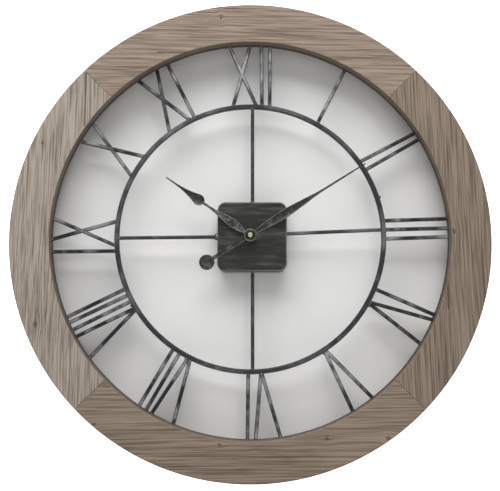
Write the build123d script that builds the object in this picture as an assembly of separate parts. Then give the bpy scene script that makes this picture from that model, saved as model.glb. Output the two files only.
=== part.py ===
from build123d import *
import math
import os

# Open-dial wall clock: a ring of four mitred fir boards holds a welded iron dial of Roman
# numerals, rings and spokes. An iron box at its centre covers a quartz movement with spade hands.
# Millimetres. The wall is the plane Y = 0, the clock stands out from it towards -Y, +X is to the
# right of someone reading the dial, +Z is up, and the hands turn on the line X = Z = 0.
# "Out" is the distance out from the wall, so the point at out = d lies on Y = -d.

# ---- wooden ring -------------------------------------------------------------------------
FRAME_D = 600.0  # outside diameter
FRAME_W = 50.0  # width of the boards' face
BOARD_T = 18.0  # thickness of the boards
BOARD_EDGE_R = 2.0  # rounding of the outer front edge
BOARD_LIP_R = 0.8  # rounding of the opening's front edge
MITRE_GAP = 0.4  # open line that shows at each mitre
BACKING_T = 22.0  # backing ring, between the boards and the wall
BACKING_SETBACK = 8.0  # backing ring's step in from the boards' outer edge
BISCUIT_L = 36.0  # mitre biscuits, half in each board
BISCUIT_W = 15.0
BISCUIT_T = 4.0
FRAME_SCREWS_AT = (12.0, 34.0)  # degrees each side of a board's middle
SCREW_D = 4.0
SCREW_HEAD_D = 8.0
SCREW_HEAD_H = 2.6
SCREW_BITE = 9.0  # how far a frame screw goes into the board

# ---- iron dial ---------------------------------------------------------------------------
DIAL_T = 6.0  # depth of both iron rings
OUTER_RING_PROUD = 0.8  # the outer ring's step in from the wooden opening
OUTER_RING_W = 13.5
OUTER_RING_SLACK = 1.0  # room round the ring in its rebate
BACKING_LAP = 4.0  # how far the backing ring laps the outer ring
INNER_RING_R = 168.2  # middle of the inner ring's bar
INNER_RING_W = 6.0
BAR_W = 4.6  # numeral bars
BAR_T = 5.0
SPOKE_W = 4.4
SPOKE_T = 4.5
BAR_EDGE_R = 1.3  # softened corners of bars and spokes
RING_EDGE_R = 1.4

# Strokes of each hour, read with its feet towards the centre. Each stroke is (outer end, inner
# end), in mm clockwise from the hour's own radius. They are welded by eye, so none is exact.
NUMERALS = {
    "xii": [(-27.5, 7.0), (-0.5, -21.5), (14.5, 15.0), (25.5, 25.0)],
    "i": [(-2.5, 1.5)],
    "ii": [(-10.0, -13.0), (-0.5, -0.5)],
    "iii": [(-22.5, -20.0), (-10.5, -8.5), (0.5, 3.0)],
    "iv": [(-29.5, -21.0), (-23.0, -3.0), (10.5, -1.0)],
    "v": [(-30.5, -10.0), (-1.0, -8.0)],
    "vi": [(-37.5, -14.5), (-6.5, -13.0), (3.5, 2.5)],
    "vii": [(-34.5, -12.5), (-4.5, -9.0), (3.5, 3.0), (13.5, 12.5)],
    "viii": [(-32.0, -8.5), (-0.5, -6.0), (9.0, 4.0), (19.0, 12.5), (26.5, 21.0)],
    "ix": [(-19.5, -18.5), (-3.5, 18.5), (23.0, -11.0)],
    "x": [(-2.5, 20.5), (25.5, -8.0)],
    "xi": [(-24.5, 7.5), (4.0, -21.5), (19.5, 15.0)],
}
# Spokes: direction in degrees from +X towards +Z, then the offset to the left of that direction
# at the box and at the ring.
SPOKES = {
    "right": (0.0, 2.3, 8.5),
    "top": (90.0, -2.8, -2.8),
    "left": (180.0, 0.5, 2.1),
    "bottom": (270.0, 2.8, 2.8),
}

# ---- box over the movement ---------------------------------------------------------------
BOX_W = 87.2
BOX_CORNER_R = 10.0
BOX_WALL = 1.5
BOX_PROUD = 6.0  # how far its rim stands in front of the dial's middle plane
BOX_BACK = 6.0  # gap between the box and the wall
BOX_EDGE_R = 2.0
BOX_RIM_W = 4.0
BOX_RIM_H = 0.6
BOX_SHIFT_X = 2.3  # the box sits a little off the dial's centre
BOX_SHIFT_Z = -0.6

# ---- movement: case, bush and battery ----------------------------------------------------
CASE_ABOVE = 26.5  # room inside the case above the hands' axis
CASE_CORNER_R = 3.0
CASE_T = 16.5
CASE_WALL = 1.5
CASE_SPLIT = 8.2  # depth of the front half
GASKET_T = 0.8
GASKET_R = 11.0
BUSH_R = 4.0
BUSH_FLANGE_R = 6.0
BUSH_FLANGE_T = 0.8
BUSH_PROUD = 1.8  # how far the bush stands out of its nut
BUSH_HOLE_SLACK = 0.15
RUN = 0.05  # radial clearance of every running fit
WASHER_R = 7.5
WASHER_T = 0.5
NUT_FLATS = 12.0
NUT_T = 2.5
BATTERY_D = 14.2
BATTERY_L = 49.2
BATTERY_NUB_D = 5.4
BATTERY_NUB_L = 1.3
BATTERY_PLAY = 0.4
BATTERY_EDGE_R = 0.8
CONTACT_T = 0.4
CONTACT_W = 9.0
CONTACT_ROOM = 1.25  # between each end of the battery and the case
PARTITION_T = 1.2  # wall between the battery bay and the wheels
WHEEL_ROOM = 1.1  # least gap between a wheel and that wall

# ---- gear train --------------------------------------------------------------------------
CANNON_TEETH = 12  # on the minute arbor
MOTION_TEETH = 36
MOTION_MODULE = 0.4
MOTION_PINION_TEETH = 10
HOUR_TEETH = 40
KNOB_TEETH = 12
CENTRE_TEETH = 64
THIRD_PINION_TEETH = 8
THIRD_TEETH = 60
SECOND_PINION_TEETH = 8
THIRD_MODULE = 0.3
SECOND_TEETH = 50
FIFTH_PINION_TEETH = 10
SECOND_MODULE = 0.25
FIFTH_TEETH = 60
ROTOR_TEETH = 10
FIFTH_MODULE = 0.2
WHEEL_T = 0.8
PINION_T = 1.2
SHAFT_R = 0.6
SHAFT_CLEAR = 0.35  # between the third arbor and the motion wheel's teeth
HOUR_CLEAR = 1.5  # between the third arbor and the hour wheel's teeth
PIVOT_R = 0.4
PIVOT_RUN = 0.04  # radial clearance of a pivot
PIVOT_IN = 0.5  # how far a pivot goes into the case wall
SHOULDER_PLAY = 0.2
ADDENDUM = 0.85  # in modules
DEDENDUM = 1.15
TOOTH_ROOT, TOOTH_PITCH, TOOTH_TIP = 0.52, 0.42, 0.20  # tooth thickness, in shares of the pitch
# directions, in degrees from +X towards +Z, from one arbor to the next
MOTION_DIR = 186.0
KNOB_DIR = 180.0
SECOND_DIR = 60.0
FIFTH_DIR = 0.0
ROTOR_DIR = -30.0
# how far behind the case's front wall the middle of each layer of wheels lies
HOUR_DROP = 0.8
MOTION_DROP = 2.4
CENTRE_DROP = 4.2
THIRD_DROP = 6.2
SECOND_DROP = 8.2
FIFTH_DROP = 10.4
MAGNET_R = 3.0
MAGNET_T = 2.0
STATOR_GAP = 0.6
STATOR_RING_W = 1.0
STATOR_ARM_W = 3.5
STATOR_T = 0.8
COIL_MARGIN = 1.4  # between the coil and the case's side
COIL_Z = 3.0
COIL_L = 18.0
COIL_D = 8.6
COIL_CORE_W = 3.0
COIL_CORE_L = 26.0
COIL_END_W = 0.8  # the bobbin's flanges
COIL_WALL = 0.5  # the bobbin's tube
CIRCUIT_W = 12.0
CIRCUIT_H = 8.0
CIRCUIT_T = 1.0
CIRCUIT_DROP = 2.5  # behind the stator
CIRCUIT_BESIDE = -1.5  # from the coil's middle
CIRCUIT_ABOVE = 18.3
CHIP_R = 2.4
CHIP_TOP_R = 1.4
CHIP_T = 1.1
CHIP_BESIDE = -2.5
CRYSTAL_R = 1.0
CRYSTAL_L = 6.0
CRYSTAL_BESIDE = 3.0
KNOB_R = 6.0
KNOB_T = 2.5
KNOB_FLUTES = 18
KNOB_FLUTE_R = 0.6
KNOB_SHAFT_R = 1.5
STUD_R = 0.8  # stud that the motion wheel turns on

# ---- hands -------------------------------------------------------------------------------
SHOWN_HOUR = 10
SHOWN_MINUTE = 9.65
HAND_T = 1.0
ARBOR_R = 1.6
ARBOR_NECK_R = 1.3
ARBOR_SHORT = 0.3  # how far the arbor stops inside the hand nut
CENTRE_BORE_R = 1.05
CLUTCH_R = 2.2
CLUTCH_T = 0.3
PINION_SHORT = 0.1  # how far the motion pinion stops behind the hour wheel's pinion line
HOUR_TUBE_R = 2.55
HOUR_HAND_GAP = 0.4  # between the bush's end and the hour hand
HAND_SPACING = 2.6  # from the hour hand's back face to the minute hand's
HAND_BOSS_R = 8.2
HOUR_BOSS_R = 7.6
BOSS_RIM_R = 5.2  # inside of the raised rim on the minute hand's boss
BOSS_RIM_H = 0.8
HAND_NUT_R = 2.9
HAND_NUT_T = 3.4
HAND_NUT_EDGE_R = 0.6
HOUR_LENGTH = 129.0
MINUTE_LENGTH = 171.0
TAIL_LENGTH = 63.6
TAIL_DISC_R = 9.5
TAIL_HALF_WIDTHS = (3.1, 2.2)  # at the turning centre and at the disc

# blades: (distance from the turning centre, half width)
ROOT_AT = HAND_BOSS_R * 0.8
SPADE_FOOT = 71.0
SPADE_WIDEST = 79.5
SPADE_HALF = 7.0
MINUTE_BLADE = [(ROOT_AT, 1.9), (28, 4.4), (51, 5.5), (78, 3.6), (104, 1.5), (MINUTE_LENGTH, 0.8)]
HOUR_LEAF = [(ROOT_AT, 1.6), (17, 4.5), (28, 5.5), (44, 3.4), (58, 1.7), (SPADE_FOOT + 2, 1.5)]
HOUR_POINT = [(SPADE_WIDEST, SPADE_HALF), (90, 4.2), (105, 1.7), (HOUR_LENGTH, 0.75)]

# ---- hanger ------------------------------------------------------------------------------
HANGER_W = 46.0
HANGER_H = 18.0
HANGER_T = 2.0
HANGER_CORNER_R = 3.0
KEYHOLE_D = 9.0
KEYHOLE_SLOT_W = 4.6
KEYHOLE_SLOT_L = 5.0
KEYHOLE_POCKET = 8.0  # room behind the plate for the wall screw's head
HANGER_SCREW_D = 3.0
HANGER_SCREW_SPACING = 34.0
HANGER_SCREW_L = 12.0
HANGER_SCREW_HEAD_D = 6.0
HANGER_SCREW_HEAD_H = 1.6


def polar(radius, degrees):
    return radius * math.cos(math.radians(degrees)), radius * math.sin(math.radians(degrees))


def step_from(point, distance, degrees):
    dx, dy = polar(distance, degrees)
    return point[0] + dx, point[1] + dy


def mesh_distance(teeth_a, teeth_b, module):
    return module * (teeth_a + teeth_b) / 2


def tip_radius(teeth, module):
    return module * (teeth / 2 + ADDENDUM)


# ---- where the arbors stand, each stepped off from the one before ------------------------
CENTRE_AT = (0.0, 0.0)
MOTION_AWAY = mesh_distance(CANNON_TEETH, MOTION_TEETH, MOTION_MODULE)
MOTION_AT = step_from(CENTRE_AT, MOTION_AWAY, MOTION_DIR)
KNOB_AT = step_from(MOTION_AT, mesh_distance(MOTION_TEETH, KNOB_TEETH, MOTION_MODULE), KNOB_DIR)
# the two gear pairs between the cannon pinion and the hour wheel share one centre distance
HOUR_MODULE = 2 * MOTION_AWAY / (MOTION_PINION_TEETH + HOUR_TEETH)
THIRD_AWAY = tip_radius(HOUR_TEETH, HOUR_MODULE) + SHAFT_R + HOUR_CLEAR
CENTRE_MODULE = 2 * THIRD_AWAY / (CENTRE_TEETH + THIRD_PINION_TEETH)
SHAFT_PASS = tip_radius(MOTION_TEETH, MOTION_MODULE) + SHAFT_R + SHAFT_CLEAR
THIRD_TURN = math.degrees(  # from the motion arbor's direction back to the third arbor's
    math.acos((THIRD_AWAY**2 + MOTION_AWAY**2 - SHAFT_PASS**2) / (2 * THIRD_AWAY * MOTION_AWAY))
)
THIRD_DIR = MOTION_DIR - THIRD_TURN
THIRD_AT = step_from(CENTRE_AT, THIRD_AWAY, THIRD_DIR)
SECOND_AT = step_from(
    THIRD_AT, mesh_distance(THIRD_TEETH, SECOND_PINION_TEETH, THIRD_MODULE), SECOND_DIR
)
FIFTH_AT = step_from(
    SECOND_AT, mesh_distance(SECOND_TEETH, FIFTH_PINION_TEETH, SECOND_MODULE), FIFTH_DIR
)
ROTOR_AT = step_from(FIFTH_AT, mesh_distance(FIFTH_TEETH, ROTOR_TEETH, FIFTH_MODULE), ROTOR_DIR)
TRAIN_AT = (THIRD_AT, SECOND_AT, FIFTH_AT, ROTOR_AT)
WHEELS_REACH = WHEEL_ROOM + max(
    tip_radius(CENTRE_TEETH, CENTRE_MODULE),
    tip_radius(MOTION_TEETH, MOTION_MODULE) - MOTION_AT[1],
)

# ---- worked out --------------------------------------------------------------------------
FRAME_R = FRAME_D / 2
OPENING_R = FRAME_R - FRAME_W
BOARD_BACK = BACKING_T
BOARD_FRONT = BACKING_T + BOARD_T
DIAL_BACK = BACKING_T
DIAL_MID = DIAL_BACK + DIAL_T / 2
RING_IN_R = OPENING_R - OUTER_RING_PROUD
RING_OUT_R = RING_IN_R + OUTER_RING_W
REBATE_R = RING_OUT_R + OUTER_RING_SLACK
BACKING_IN_R = RING_OUT_R - BACKING_LAP
BACKING_OUT_R = FRAME_R - BACKING_SETBACK
SCREW_R = (REBATE_R + BACKING_OUT_R) / 2
HANGER_R = (BACKING_IN_R + BACKING_OUT_R) / 2  # radius of the keyhole's round end
INNER_RING_OUT_R = INNER_RING_R + INNER_RING_W / 2
INNER_RING_IN_R = INNER_RING_R - INNER_RING_W / 2

BOX_FRONT = DIAL_MID + BOX_PROUD
BOX_FLOOR = BOX_FRONT - BOX_RIM_H
CASE_FRONT = BOX_FLOOR - BOX_WALL - GASKET_T
CASE_BACK = CASE_FRONT - CASE_T
CASE_SEAM = CASE_FRONT - CASE_SPLIT
CASE_IN_FRONT = CASE_FRONT - CASE_WALL
CASE_IN_BACK = CASE_BACK + CASE_WALL
CASE_IN_HALF = (BATTERY_L + BATTERY_NUB_L) / 2 + CONTACT_ROOM
BAY_W = BATTERY_D + 2 * BATTERY_PLAY
BAY_TOP = -WHEELS_REACH - PARTITION_T
CASE_BELOW = BAY_W - BAY_TOP
BATTERY_Z = BAY_TOP - BAY_W / 2
BATTERY_OUT = CASE_IN_FRONT - BATTERY_D / 2 - BATTERY_PLAY / 2

HOUR_LAYER = CASE_IN_FRONT - HOUR_DROP
MOTION_LAYER = CASE_IN_FRONT - MOTION_DROP
CENTRE_LAYER = CASE_IN_FRONT - CENTRE_DROP
THIRD_LAYER = CASE_IN_FRONT - THIRD_DROP
SECOND_LAYER = CASE_IN_FRONT - SECOND_DROP
FIFTH_LAYER = CASE_IN_FRONT - FIFTH_DROP
COIL_X = CASE_IN_HALF - COIL_D / 2 - COIL_MARGIN

NUT_BACK = BOX_FLOOR + WASHER_T
BUSH_END = NUT_BACK + NUT_T + BUSH_PROUD
TUBE_BORE_R = ARBOR_R + RUN
BUSH_BORE_R = HOUR_TUBE_R + RUN
HOUR_HAND_OUT = BUSH_END + HOUR_HAND_GAP
MINUTE_HAND_OUT = HOUR_HAND_OUT + HAND_SPACING
MINUTE_ANGLE = 6 * SHOWN_MINUTE
HOUR_ANGLE = 30 * (SHOWN_HOUR + SHOWN_MINUTE / 60)


def save(name, *solids):
    """Write one sub-part: a single solid, or a group of separate ones."""
    found = [solid for item in solids for solid in item.solids()]
    for solid in found:
        assert solid.is_valid, name
    shape = found[0] if len(found) == 1 else Compound(children=found)
    shape.label = name
    export_step(shape, f"parts/{name}.step")
    print(f"{name:26s} solids {len(found):2d}  volume {sum(s.volume for s in found):12.1f}")


def face_plane(out):
    """Plane parallel to the wall: its x is +X, its y is +Z, and it faces the reader."""
    return Plane.XZ.offset(out)


def plane_at(at, out):
    """The same plane with its origin moved to a point of the dial."""
    return Plane(origin=(at[0], -out, at[1]), x_dir=(1, 0, 0), z_dir=(0, -1, 0))


def slab(sketch, low, high):
    """A flat outline given thickness between two distances out from the wall."""
    return extrude(face_plane(low) * sketch, amount=high - low)


def disc(radius, low, high, at=(0.0, 0.0)):
    return slab(Pos(at[0], at[1]) * Circle(radius), low, high)


def tube(radius, bore, low, high, at=(0.0, 0.0)):
    return slab(Pos(at[0], at[1]) * (Circle(radius) - Circle(bore)), low, high)


def edges_at(solid, out, radius):
    """The circular edges of one radius that lie at one distance out from the wall."""
    return [
        edge
        for edge in solid.edges().filter_by(GeomType.CIRCLE)
        if abs(edge.radius - radius) < 1e-6 and abs(edge.center().Y + out) < 1e-6
    ]


def countersunk_screw(at, head_out, length, diameter, head_d, head_h):
    """A screw driven outwards, from a flush head at head_out towards the reader."""
    head = Solid.make_cone(head_d / 2, diameter / 2, head_h, plane=plane_at(at, head_out))
    return head + disc(diameter / 2, head_out + head_h, head_out + length, at)


# ---- the wooden ring ---------------------------------------------------------------------
BOARD_MIDDLES = {"right": 0.0, "top": 90.0, "left": 180.0, "bottom": 270.0}


def frame_screw_places():
    for middle in BOARD_MIDDLES.values():
        for side in (-1, 1):
            for away in FRAME_SCREWS_AT:
                yield polar(SCREW_R, middle + side * away)


def frame_screws():
    length = BACKING_T + SCREW_BITE
    return [
        countersunk_screw(at, 0.0, length, SCREW_D, SCREW_HEAD_D, SCREW_HEAD_H)
        for at in frame_screw_places()
    ]


def biscuit(degrees):
    """A mitre biscuit, its long side along the mitre, in the middle of the unrebated wood."""
    mid = (DIAL_BACK + DIAL_T + BOARD_FRONT) / 2
    shape = Rot(0, 0, degrees) * Pos(OPENING_R + FRAME_W / 2) * SlotOverall(BISCUIT_L, BISCUIT_W)
    return slab(shape, mid - BISCUIT_T / 2, mid + BISCUIT_T / 2)


def boards():
    ring = tube(FRAME_R, OPENING_R, BOARD_BACK, BOARD_FRONT)
    ring = fillet(edges_at(ring, BOARD_FRONT, FRAME_R), BOARD_EDGE_R)
    ring = fillet(edges_at(ring, BOARD_FRONT, OPENING_R), BOARD_LIP_R)
    ring -= disc(REBATE_R, DIAL_BACK, DIAL_BACK + DIAL_T)
    for degrees in (45, 135, 225, 315):
        ring -= biscuit(degrees)
    for screw in frame_screws():
        ring -= screw
    reach = FRAME_R * 1.5
    made = {}
    for name, middle in BOARD_MIDDLES.items():
        wedge = Polyline((0, 0), (reach, -reach), (reach, reach), close=True)
        wedge = Rot(0, 0, middle) * Pos(MITRE_GAP / 2 * math.sqrt(2)) * make_face(wedge)
        made[name] = ring & slab(wedge, BOARD_BACK, BOARD_FRONT)
    return made


def hanger_places():
    return [(side * HANGER_SCREW_SPACING / 2, HANGER_R) for side in (-1, 1)]


def hanger_outline():
    return Pos(0, HANGER_R) * RectangleRounded(HANGER_W, HANGER_H, HANGER_CORNER_R)


def hanger_screws():
    return [
        countersunk_screw(
            at, 0.0, HANGER_SCREW_L, HANGER_SCREW_D, HANGER_SCREW_HEAD_D, HANGER_SCREW_HEAD_H
        )
        for at in hanger_places()
    ]


def hanger_plate():
    slot_top = HANGER_R + KEYHOLE_SLOT_L
    key = Pos(0, HANGER_R) * Circle(KEYHOLE_D / 2)
    key += Pos(0, slot_top) * Circle(KEYHOLE_SLOT_W / 2)
    key += Pos(0, (HANGER_R + slot_top) / 2) * Rectangle(KEYHOLE_SLOT_W, KEYHOLE_SLOT_L)
    plate = slab(hanger_outline() - key, 0, HANGER_T)
    for screw in hanger_screws():
        plate -= screw
    return plate


def backing_ring():
    ring = tube(BACKING_OUT_R, BACKING_IN_R, 0, BACKING_T)
    ring -= slab(hanger_outline(), 0, HANGER_T)
    pocket = Pos(0, HANGER_R + KEYHOLE_SLOT_L / 2) * SlotOverall(
        KEYHOLE_D + KEYHOLE_SLOT_L, KEYHOLE_D, rotation=90
    )
    ring -= slab(pocket, HANGER_T, HANGER_T + KEYHOLE_POCKET)
    for screw in frame_screws() + hanger_screws():
        ring -= screw
    return ring


# ---- the iron dial -----------------------------------------------------------------------
def iron_ring(inner, outer):
    ring = tube(outer, inner, DIAL_BACK, DIAL_BACK + DIAL_T)
    return fillet(ring.edges().filter_by(GeomType.CIRCLE), RING_EDGE_R)


def bar_between(start, end, width, depth):
    """A straight bar with softened corners, its middle on the dial's middle plane."""
    run = Vector(end[0] - start[0], end[1] - start[1])
    bar = Box(run.length, width, depth)
    bar = fillet(bar.edges().filter_by(Axis.X), BAR_EDGE_R)
    turn = math.degrees(math.atan2(run.Y, run.X))
    middle = ((start[0] + end[0]) / 2, (start[1] + end[1]) / 2)
    return face_plane(DIAL_MID) * Pos(middle[0], middle[1]) * Rot(0, 0, turn) * bar


def numeral(hour, strokes):
    """Bars that run from the inner ring's outside to the outer ring's inside."""
    field = tube(RING_IN_R, INNER_RING_OUT_R, DIAL_BACK, DIAL_BACK + DIAL_T)
    along = 90 - 30 * hour
    overrun = 12.0
    span = RING_IN_R - INNER_RING_OUT_R
    glyph = None
    for outer, inner in strokes:
        slope = (outer - inner) / span
        ends = []
        for radius, aside in (
            (RING_IN_R + overrun, outer + slope * overrun),
            (INNER_RING_OUT_R - overrun, inner - slope * overrun),
        ):
            ends.append(step_from(polar(radius, along), aside, along - 90))
        bar = bar_between(ends[0], ends[1], BAR_W, BAR_T) & field
        glyph = bar if glyph is None else glyph + bar
    return glyph


def box_outline(inset=0.0):
    side = BOX_W - 2 * inset
    return Pos(BOX_SHIFT_X, BOX_SHIFT_Z) * RectangleRounded(side, side, BOX_CORNER_R - inset)


def spoke(direction, at_box, at_ring):
    """A bar from the box's side to the inner ring's inside."""
    start = step_from(polar(BOX_W / 4, direction), at_box, direction + 90)
    end = step_from(polar(INNER_RING_R, direction), at_ring, direction + 90)
    bar = bar_between(start, end, SPOKE_W, SPOKE_T) & disc(INNER_RING_IN_R, 0, BOARD_FRONT)
    return bar - slab(box_outline(), BOX_BACK, BOX_FRONT)


def movement_box():
    """Pressed iron box, open at the back, with a raised rim round its front."""
    box = slab(box_outline(), BOX_BACK, BOX_FRONT)
    front = [e for e in box.edges() if abs(e.center().Y + BOX_FRONT) < 1e-6]
    box = fillet(front, BOX_EDGE_R)
    box -= slab(box_outline(BOX_WALL), BOX_BACK, BOX_FLOOR - BOX_WALL)
    box -= slab(box_outline(BOX_RIM_W), BOX_FLOOR, BOX_FRONT)
    return box - disc(BUSH_R + BUSH_HOLE_SLACK, BOX_BACK, BOX_FRONT)


# ---- gears -------------------------------------------------------------------------------
def gear_outline(teeth, module, phase):
    """Straight-flanked clock teeth with backlash. phase is one tooth's direction in degrees."""
    radius = module * teeth / 2
    root, tip = radius - DEDENDUM * module, radius + ADDENDUM * module
    pitch = 360 / teeth
    points = []
    for tooth in range(teeth):
        for distance, share in (
            (root, -TOOTH_ROOT),
            (radius, -TOOTH_PITCH),
            (tip, -TOOTH_TIP),
            (tip, TOOTH_TIP),
            (radius, TOOTH_PITCH),
            (root, TOOTH_ROOT),
        ):
            points.append(polar(distance, phase + (tooth + share / 2) * pitch))
    return make_face(Polyline(*points, close=True))


def gear(at, teeth, module, phase, layer, thickness):
    outline = Pos(at[0], at[1]) * gear_outline(teeth, module, phase)
    return slab(outline, layer - thickness / 2, layer + thickness / 2)


def mesh_phase(teeth_a, phase_a, direction, teeth_b):
    """Phase of gear b so that its gap faces a's tooth, b lying in that direction from a."""
    share_a = (direction - phase_a) / (360 / teeth_a)
    return direction + 180 - (0.5 - share_a) * 360 / teeth_b


CANNON_PHASE = MOTION_DIR
MOTION_PHASE = mesh_phase(CANNON_TEETH, CANNON_PHASE, MOTION_DIR, MOTION_TEETH)
KNOB_PHASE = mesh_phase(MOTION_TEETH, MOTION_PHASE, KNOB_DIR, KNOB_TEETH)
HOUR_PHASE = MOTION_DIR
MOTION_PINION_PHASE = mesh_phase(HOUR_TEETH, HOUR_PHASE, MOTION_DIR, MOTION_PINION_TEETH)
CENTRE_PHASE = THIRD_DIR
THIRD_PINION_PHASE = mesh_phase(CENTRE_TEETH, CENTRE_PHASE, THIRD_DIR, THIRD_PINION_TEETH)
THIRD_PHASE = SECOND_DIR
SECOND_PINION_PHASE = mesh_phase(THIRD_TEETH, THIRD_PHASE, SECOND_DIR, SECOND_PINION_TEETH)
SECOND_PHASE = FIFTH_DIR
FIFTH_PINION_PHASE = mesh_phase(SECOND_TEETH, SECOND_PHASE, FIFTH_DIR, FIFTH_PINION_TEETH)
FIFTH_PHASE = ROTOR_DIR
ROTOR_PHASE = mesh_phase(FIFTH_TEETH, FIFTH_PHASE, ROTOR_DIR, ROTOR_TEETH)

SHAFT_BACK = CASE_IN_BACK + SHOULDER_PLAY
SHAFT_FRONT = CASE_IN_FRONT - SHOULDER_PLAY
PIVOT_BACK = CASE_IN_BACK - PIVOT_IN
PIVOT_FRONT = CASE_IN_FRONT + PIVOT_IN


def train_arbor(at, pinion, wheel=None):
    """A turned arbor with its pinion and, where it has one, its wheel.

    Each gear is (teeth, module, phase, layer).
    """
    arbor = disc(SHAFT_R, SHAFT_BACK, SHAFT_FRONT, at)
    arbor += disc(PIVOT_R, PIVOT_BACK, PIVOT_FRONT, at)
    arbor += gear(at, *pinion, PINION_T)
    if wheel:
        arbor += gear(at, *wheel, WHEEL_T)
    return arbor


def pivot_hole(at, back=True, front=True):
    low = PIVOT_BACK - SHOULDER_PLAY if back else CASE_IN_BACK
    high = PIVOT_FRONT + SHOULDER_PLAY if front else CASE_IN_FRONT
    return disc(PIVOT_R + PIVOT_RUN, low, high, at)


# ---- the movement's case -----------------------------------------------------------------
STUD_END = MOTION_LAYER - PINION_T / 2


def case_outline(wall=CASE_WALL):
    """The case's outside, or with no wall its inside."""
    wide = 2 * (CASE_IN_HALF + wall)
    high = CASE_ABOVE + CASE_BELOW + 2 * wall
    corner = CASE_CORNER_R - CASE_WALL + wall
    return Pos(0, (CASE_ABOVE - CASE_BELOW) / 2) * RectangleRounded(wide, high, corner)


def front_case():
    case = slab(case_outline(), CASE_SEAM, CASE_FRONT)
    case -= slab(case_outline(0), CASE_SEAM, CASE_IN_FRONT)
    case -= disc(BUSH_R, CASE_IN_FRONT, CASE_FRONT)
    case -= disc(BUSH_FLANGE_R, CASE_FRONT - BUSH_FLANGE_T, CASE_FRONT)
    case += disc(STUD_R, STUD_END, CASE_IN_FRONT, MOTION_AT)
    for at in TRAIN_AT:
        case -= pivot_hole(at)
    return case


def bay_outline():
    """The battery bay, which has no back wall, so that the battery lifts out."""
    return Pos(0, BATTERY_Z) * Rectangle(2 * CASE_IN_HALF, BAY_W)


def back_case():
    case = slab(case_outline(), CASE_BACK, CASE_SEAM)
    case -= slab(case_outline(0), CASE_IN_BACK, CASE_SEAM)
    case -= slab(bay_outline(), CASE_BACK, CASE_SEAM)
    partition = Pos(0, BAY_TOP + PARTITION_T / 2) * Rectangle(2 * CASE_IN_HALF, PARTITION_T)
    case += slab(partition, CASE_BACK, CASE_IN_FRONT)
    case -= disc(KNOB_SHAFT_R + RUN, CASE_BACK, CASE_IN_BACK, KNOB_AT)
    for at in (*TRAIN_AT, CENTRE_AT):
        case -= pivot_hole(at)
    return case


def threaded_bush():
    bush = disc(BUSH_R, CASE_IN_FRONT, BUSH_END)
    bush += disc(BUSH_FLANGE_R, CASE_FRONT - BUSH_FLANGE_T, CASE_FRONT)
    return bush - disc(BUSH_BORE_R, CASE_IN_FRONT, BUSH_END)


def hex_nut():
    nut = slab(RegularPolygon(NUT_FLATS / 2, 6, major_radius=False), NUT_BACK, NUT_BACK + NUT_T)
    return nut - disc(BUSH_R, NUT_BACK, NUT_BACK + NUT_T)


def battery():
    half = (BATTERY_L + BATTERY_NUB_L) / 2
    plane = Plane(origin=(-half, -BATTERY_OUT, BATTERY_Z), z_dir=(1, 0, 0))
    cell = extrude(plane * Circle(BATTERY_D / 2), amount=BATTERY_L)
    cell = fillet(cell.edges(), BATTERY_EDGE_R)
    nub = extrude(plane.offset(BATTERY_L) * Circle(BATTERY_NUB_D / 2), amount=BATTERY_NUB_L)
    return cell + nub


def battery_contact(side):
    """Sprung plate on the bay's end wall, with a boss that reaches the battery's end."""
    wall = CASE_IN_HALF
    end = (BATTERY_L + BATTERY_NUB_L) / 2
    plane = Plane(origin=(side * wall, -BATTERY_OUT, BATTERY_Z), z_dir=(-side, 0, 0))
    contact = extrude(plane * Rectangle(CONTACT_W, CONTACT_W), amount=CONTACT_T)
    return contact + extrude(plane * Circle(BATTERY_NUB_D / 2), amount=wall - end - RUN)


# ---- the motor ---------------------------------------------------------------------------
COIL_OUT = SECOND_LAYER + STATOR_T  # middle of the coil's core, which lies on the stator


def upright_box(width, depth, low, high, at_x, at_out):
    """A box standing along Z, its middle at at_x and at_out."""
    plane = Plane(origin=(at_x, -at_out, low), z_dir=(0, 0, 1))
    return extrude(plane * Rectangle(width, depth), amount=high - low)


def upright_disc(radius, low, high, at_x, at_out):
    plane = Plane(origin=(at_x, -at_out, low), z_dir=(0, 0, 1))
    return extrude(plane * Circle(radius), amount=high - low)


def stator():
    """Flat iron plate round the rotor, with an arm to each end of the coil."""
    outline = Pos(*ROTOR_AT) * Circle(MAGNET_R + STATOR_GAP + STATOR_RING_W)
    for end in (-1, 1):
        foot_z = COIL_Z + end * (COIL_CORE_L - STATOR_ARM_W) / 2
        rise, reach = abs(foot_z - ROTOR_AT[1]), COIL_X - ROTOR_AT[0]
        leg = SlotCenterToCenter(rise, STATOR_ARM_W, rotation=90)
        outline += Pos(ROTOR_AT[0], (foot_z + ROTOR_AT[1]) / 2) * leg
        outline += Pos(ROTOR_AT[0] + reach / 2, foot_z) * SlotCenterToCenter(reach, STATOR_ARM_W)
    outline -= Pos(*ROTOR_AT) * Circle(MAGNET_R + STATOR_GAP)
    return slab(outline, SECOND_LAYER - STATOR_T / 2, SECOND_LAYER + STATOR_T / 2)


def coil_core():
    half = COIL_CORE_L / 2
    return upright_box(COIL_CORE_W, STATOR_T, COIL_Z - half, COIL_Z + half, COIL_X, COIL_OUT)


def coil_bobbin():
    low, high = COIL_Z - COIL_L / 2, COIL_Z + COIL_L / 2
    spool = upright_disc(COIL_CORE_W / 2 + 2 * COIL_WALL, low, high, COIL_X, COIL_OUT)
    for start in (low, high - COIL_END_W):
        spool += upright_disc(COIL_D / 2, start, start + COIL_END_W, COIL_X, COIL_OUT)
    return spool - upright_box(COIL_CORE_W, STATOR_T, low, high, COIL_X, COIL_OUT)


def coil_winding():
    low, high = COIL_Z - COIL_L / 2 + COIL_END_W, COIL_Z + COIL_L / 2 - COIL_END_W
    wire = upright_disc(COIL_D / 2 - COIL_WALL, low, high, COIL_X, COIL_OUT)
    return wire - upright_disc(COIL_CORE_W / 2 + 2 * COIL_WALL, low, high, COIL_X, COIL_OUT)


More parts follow.
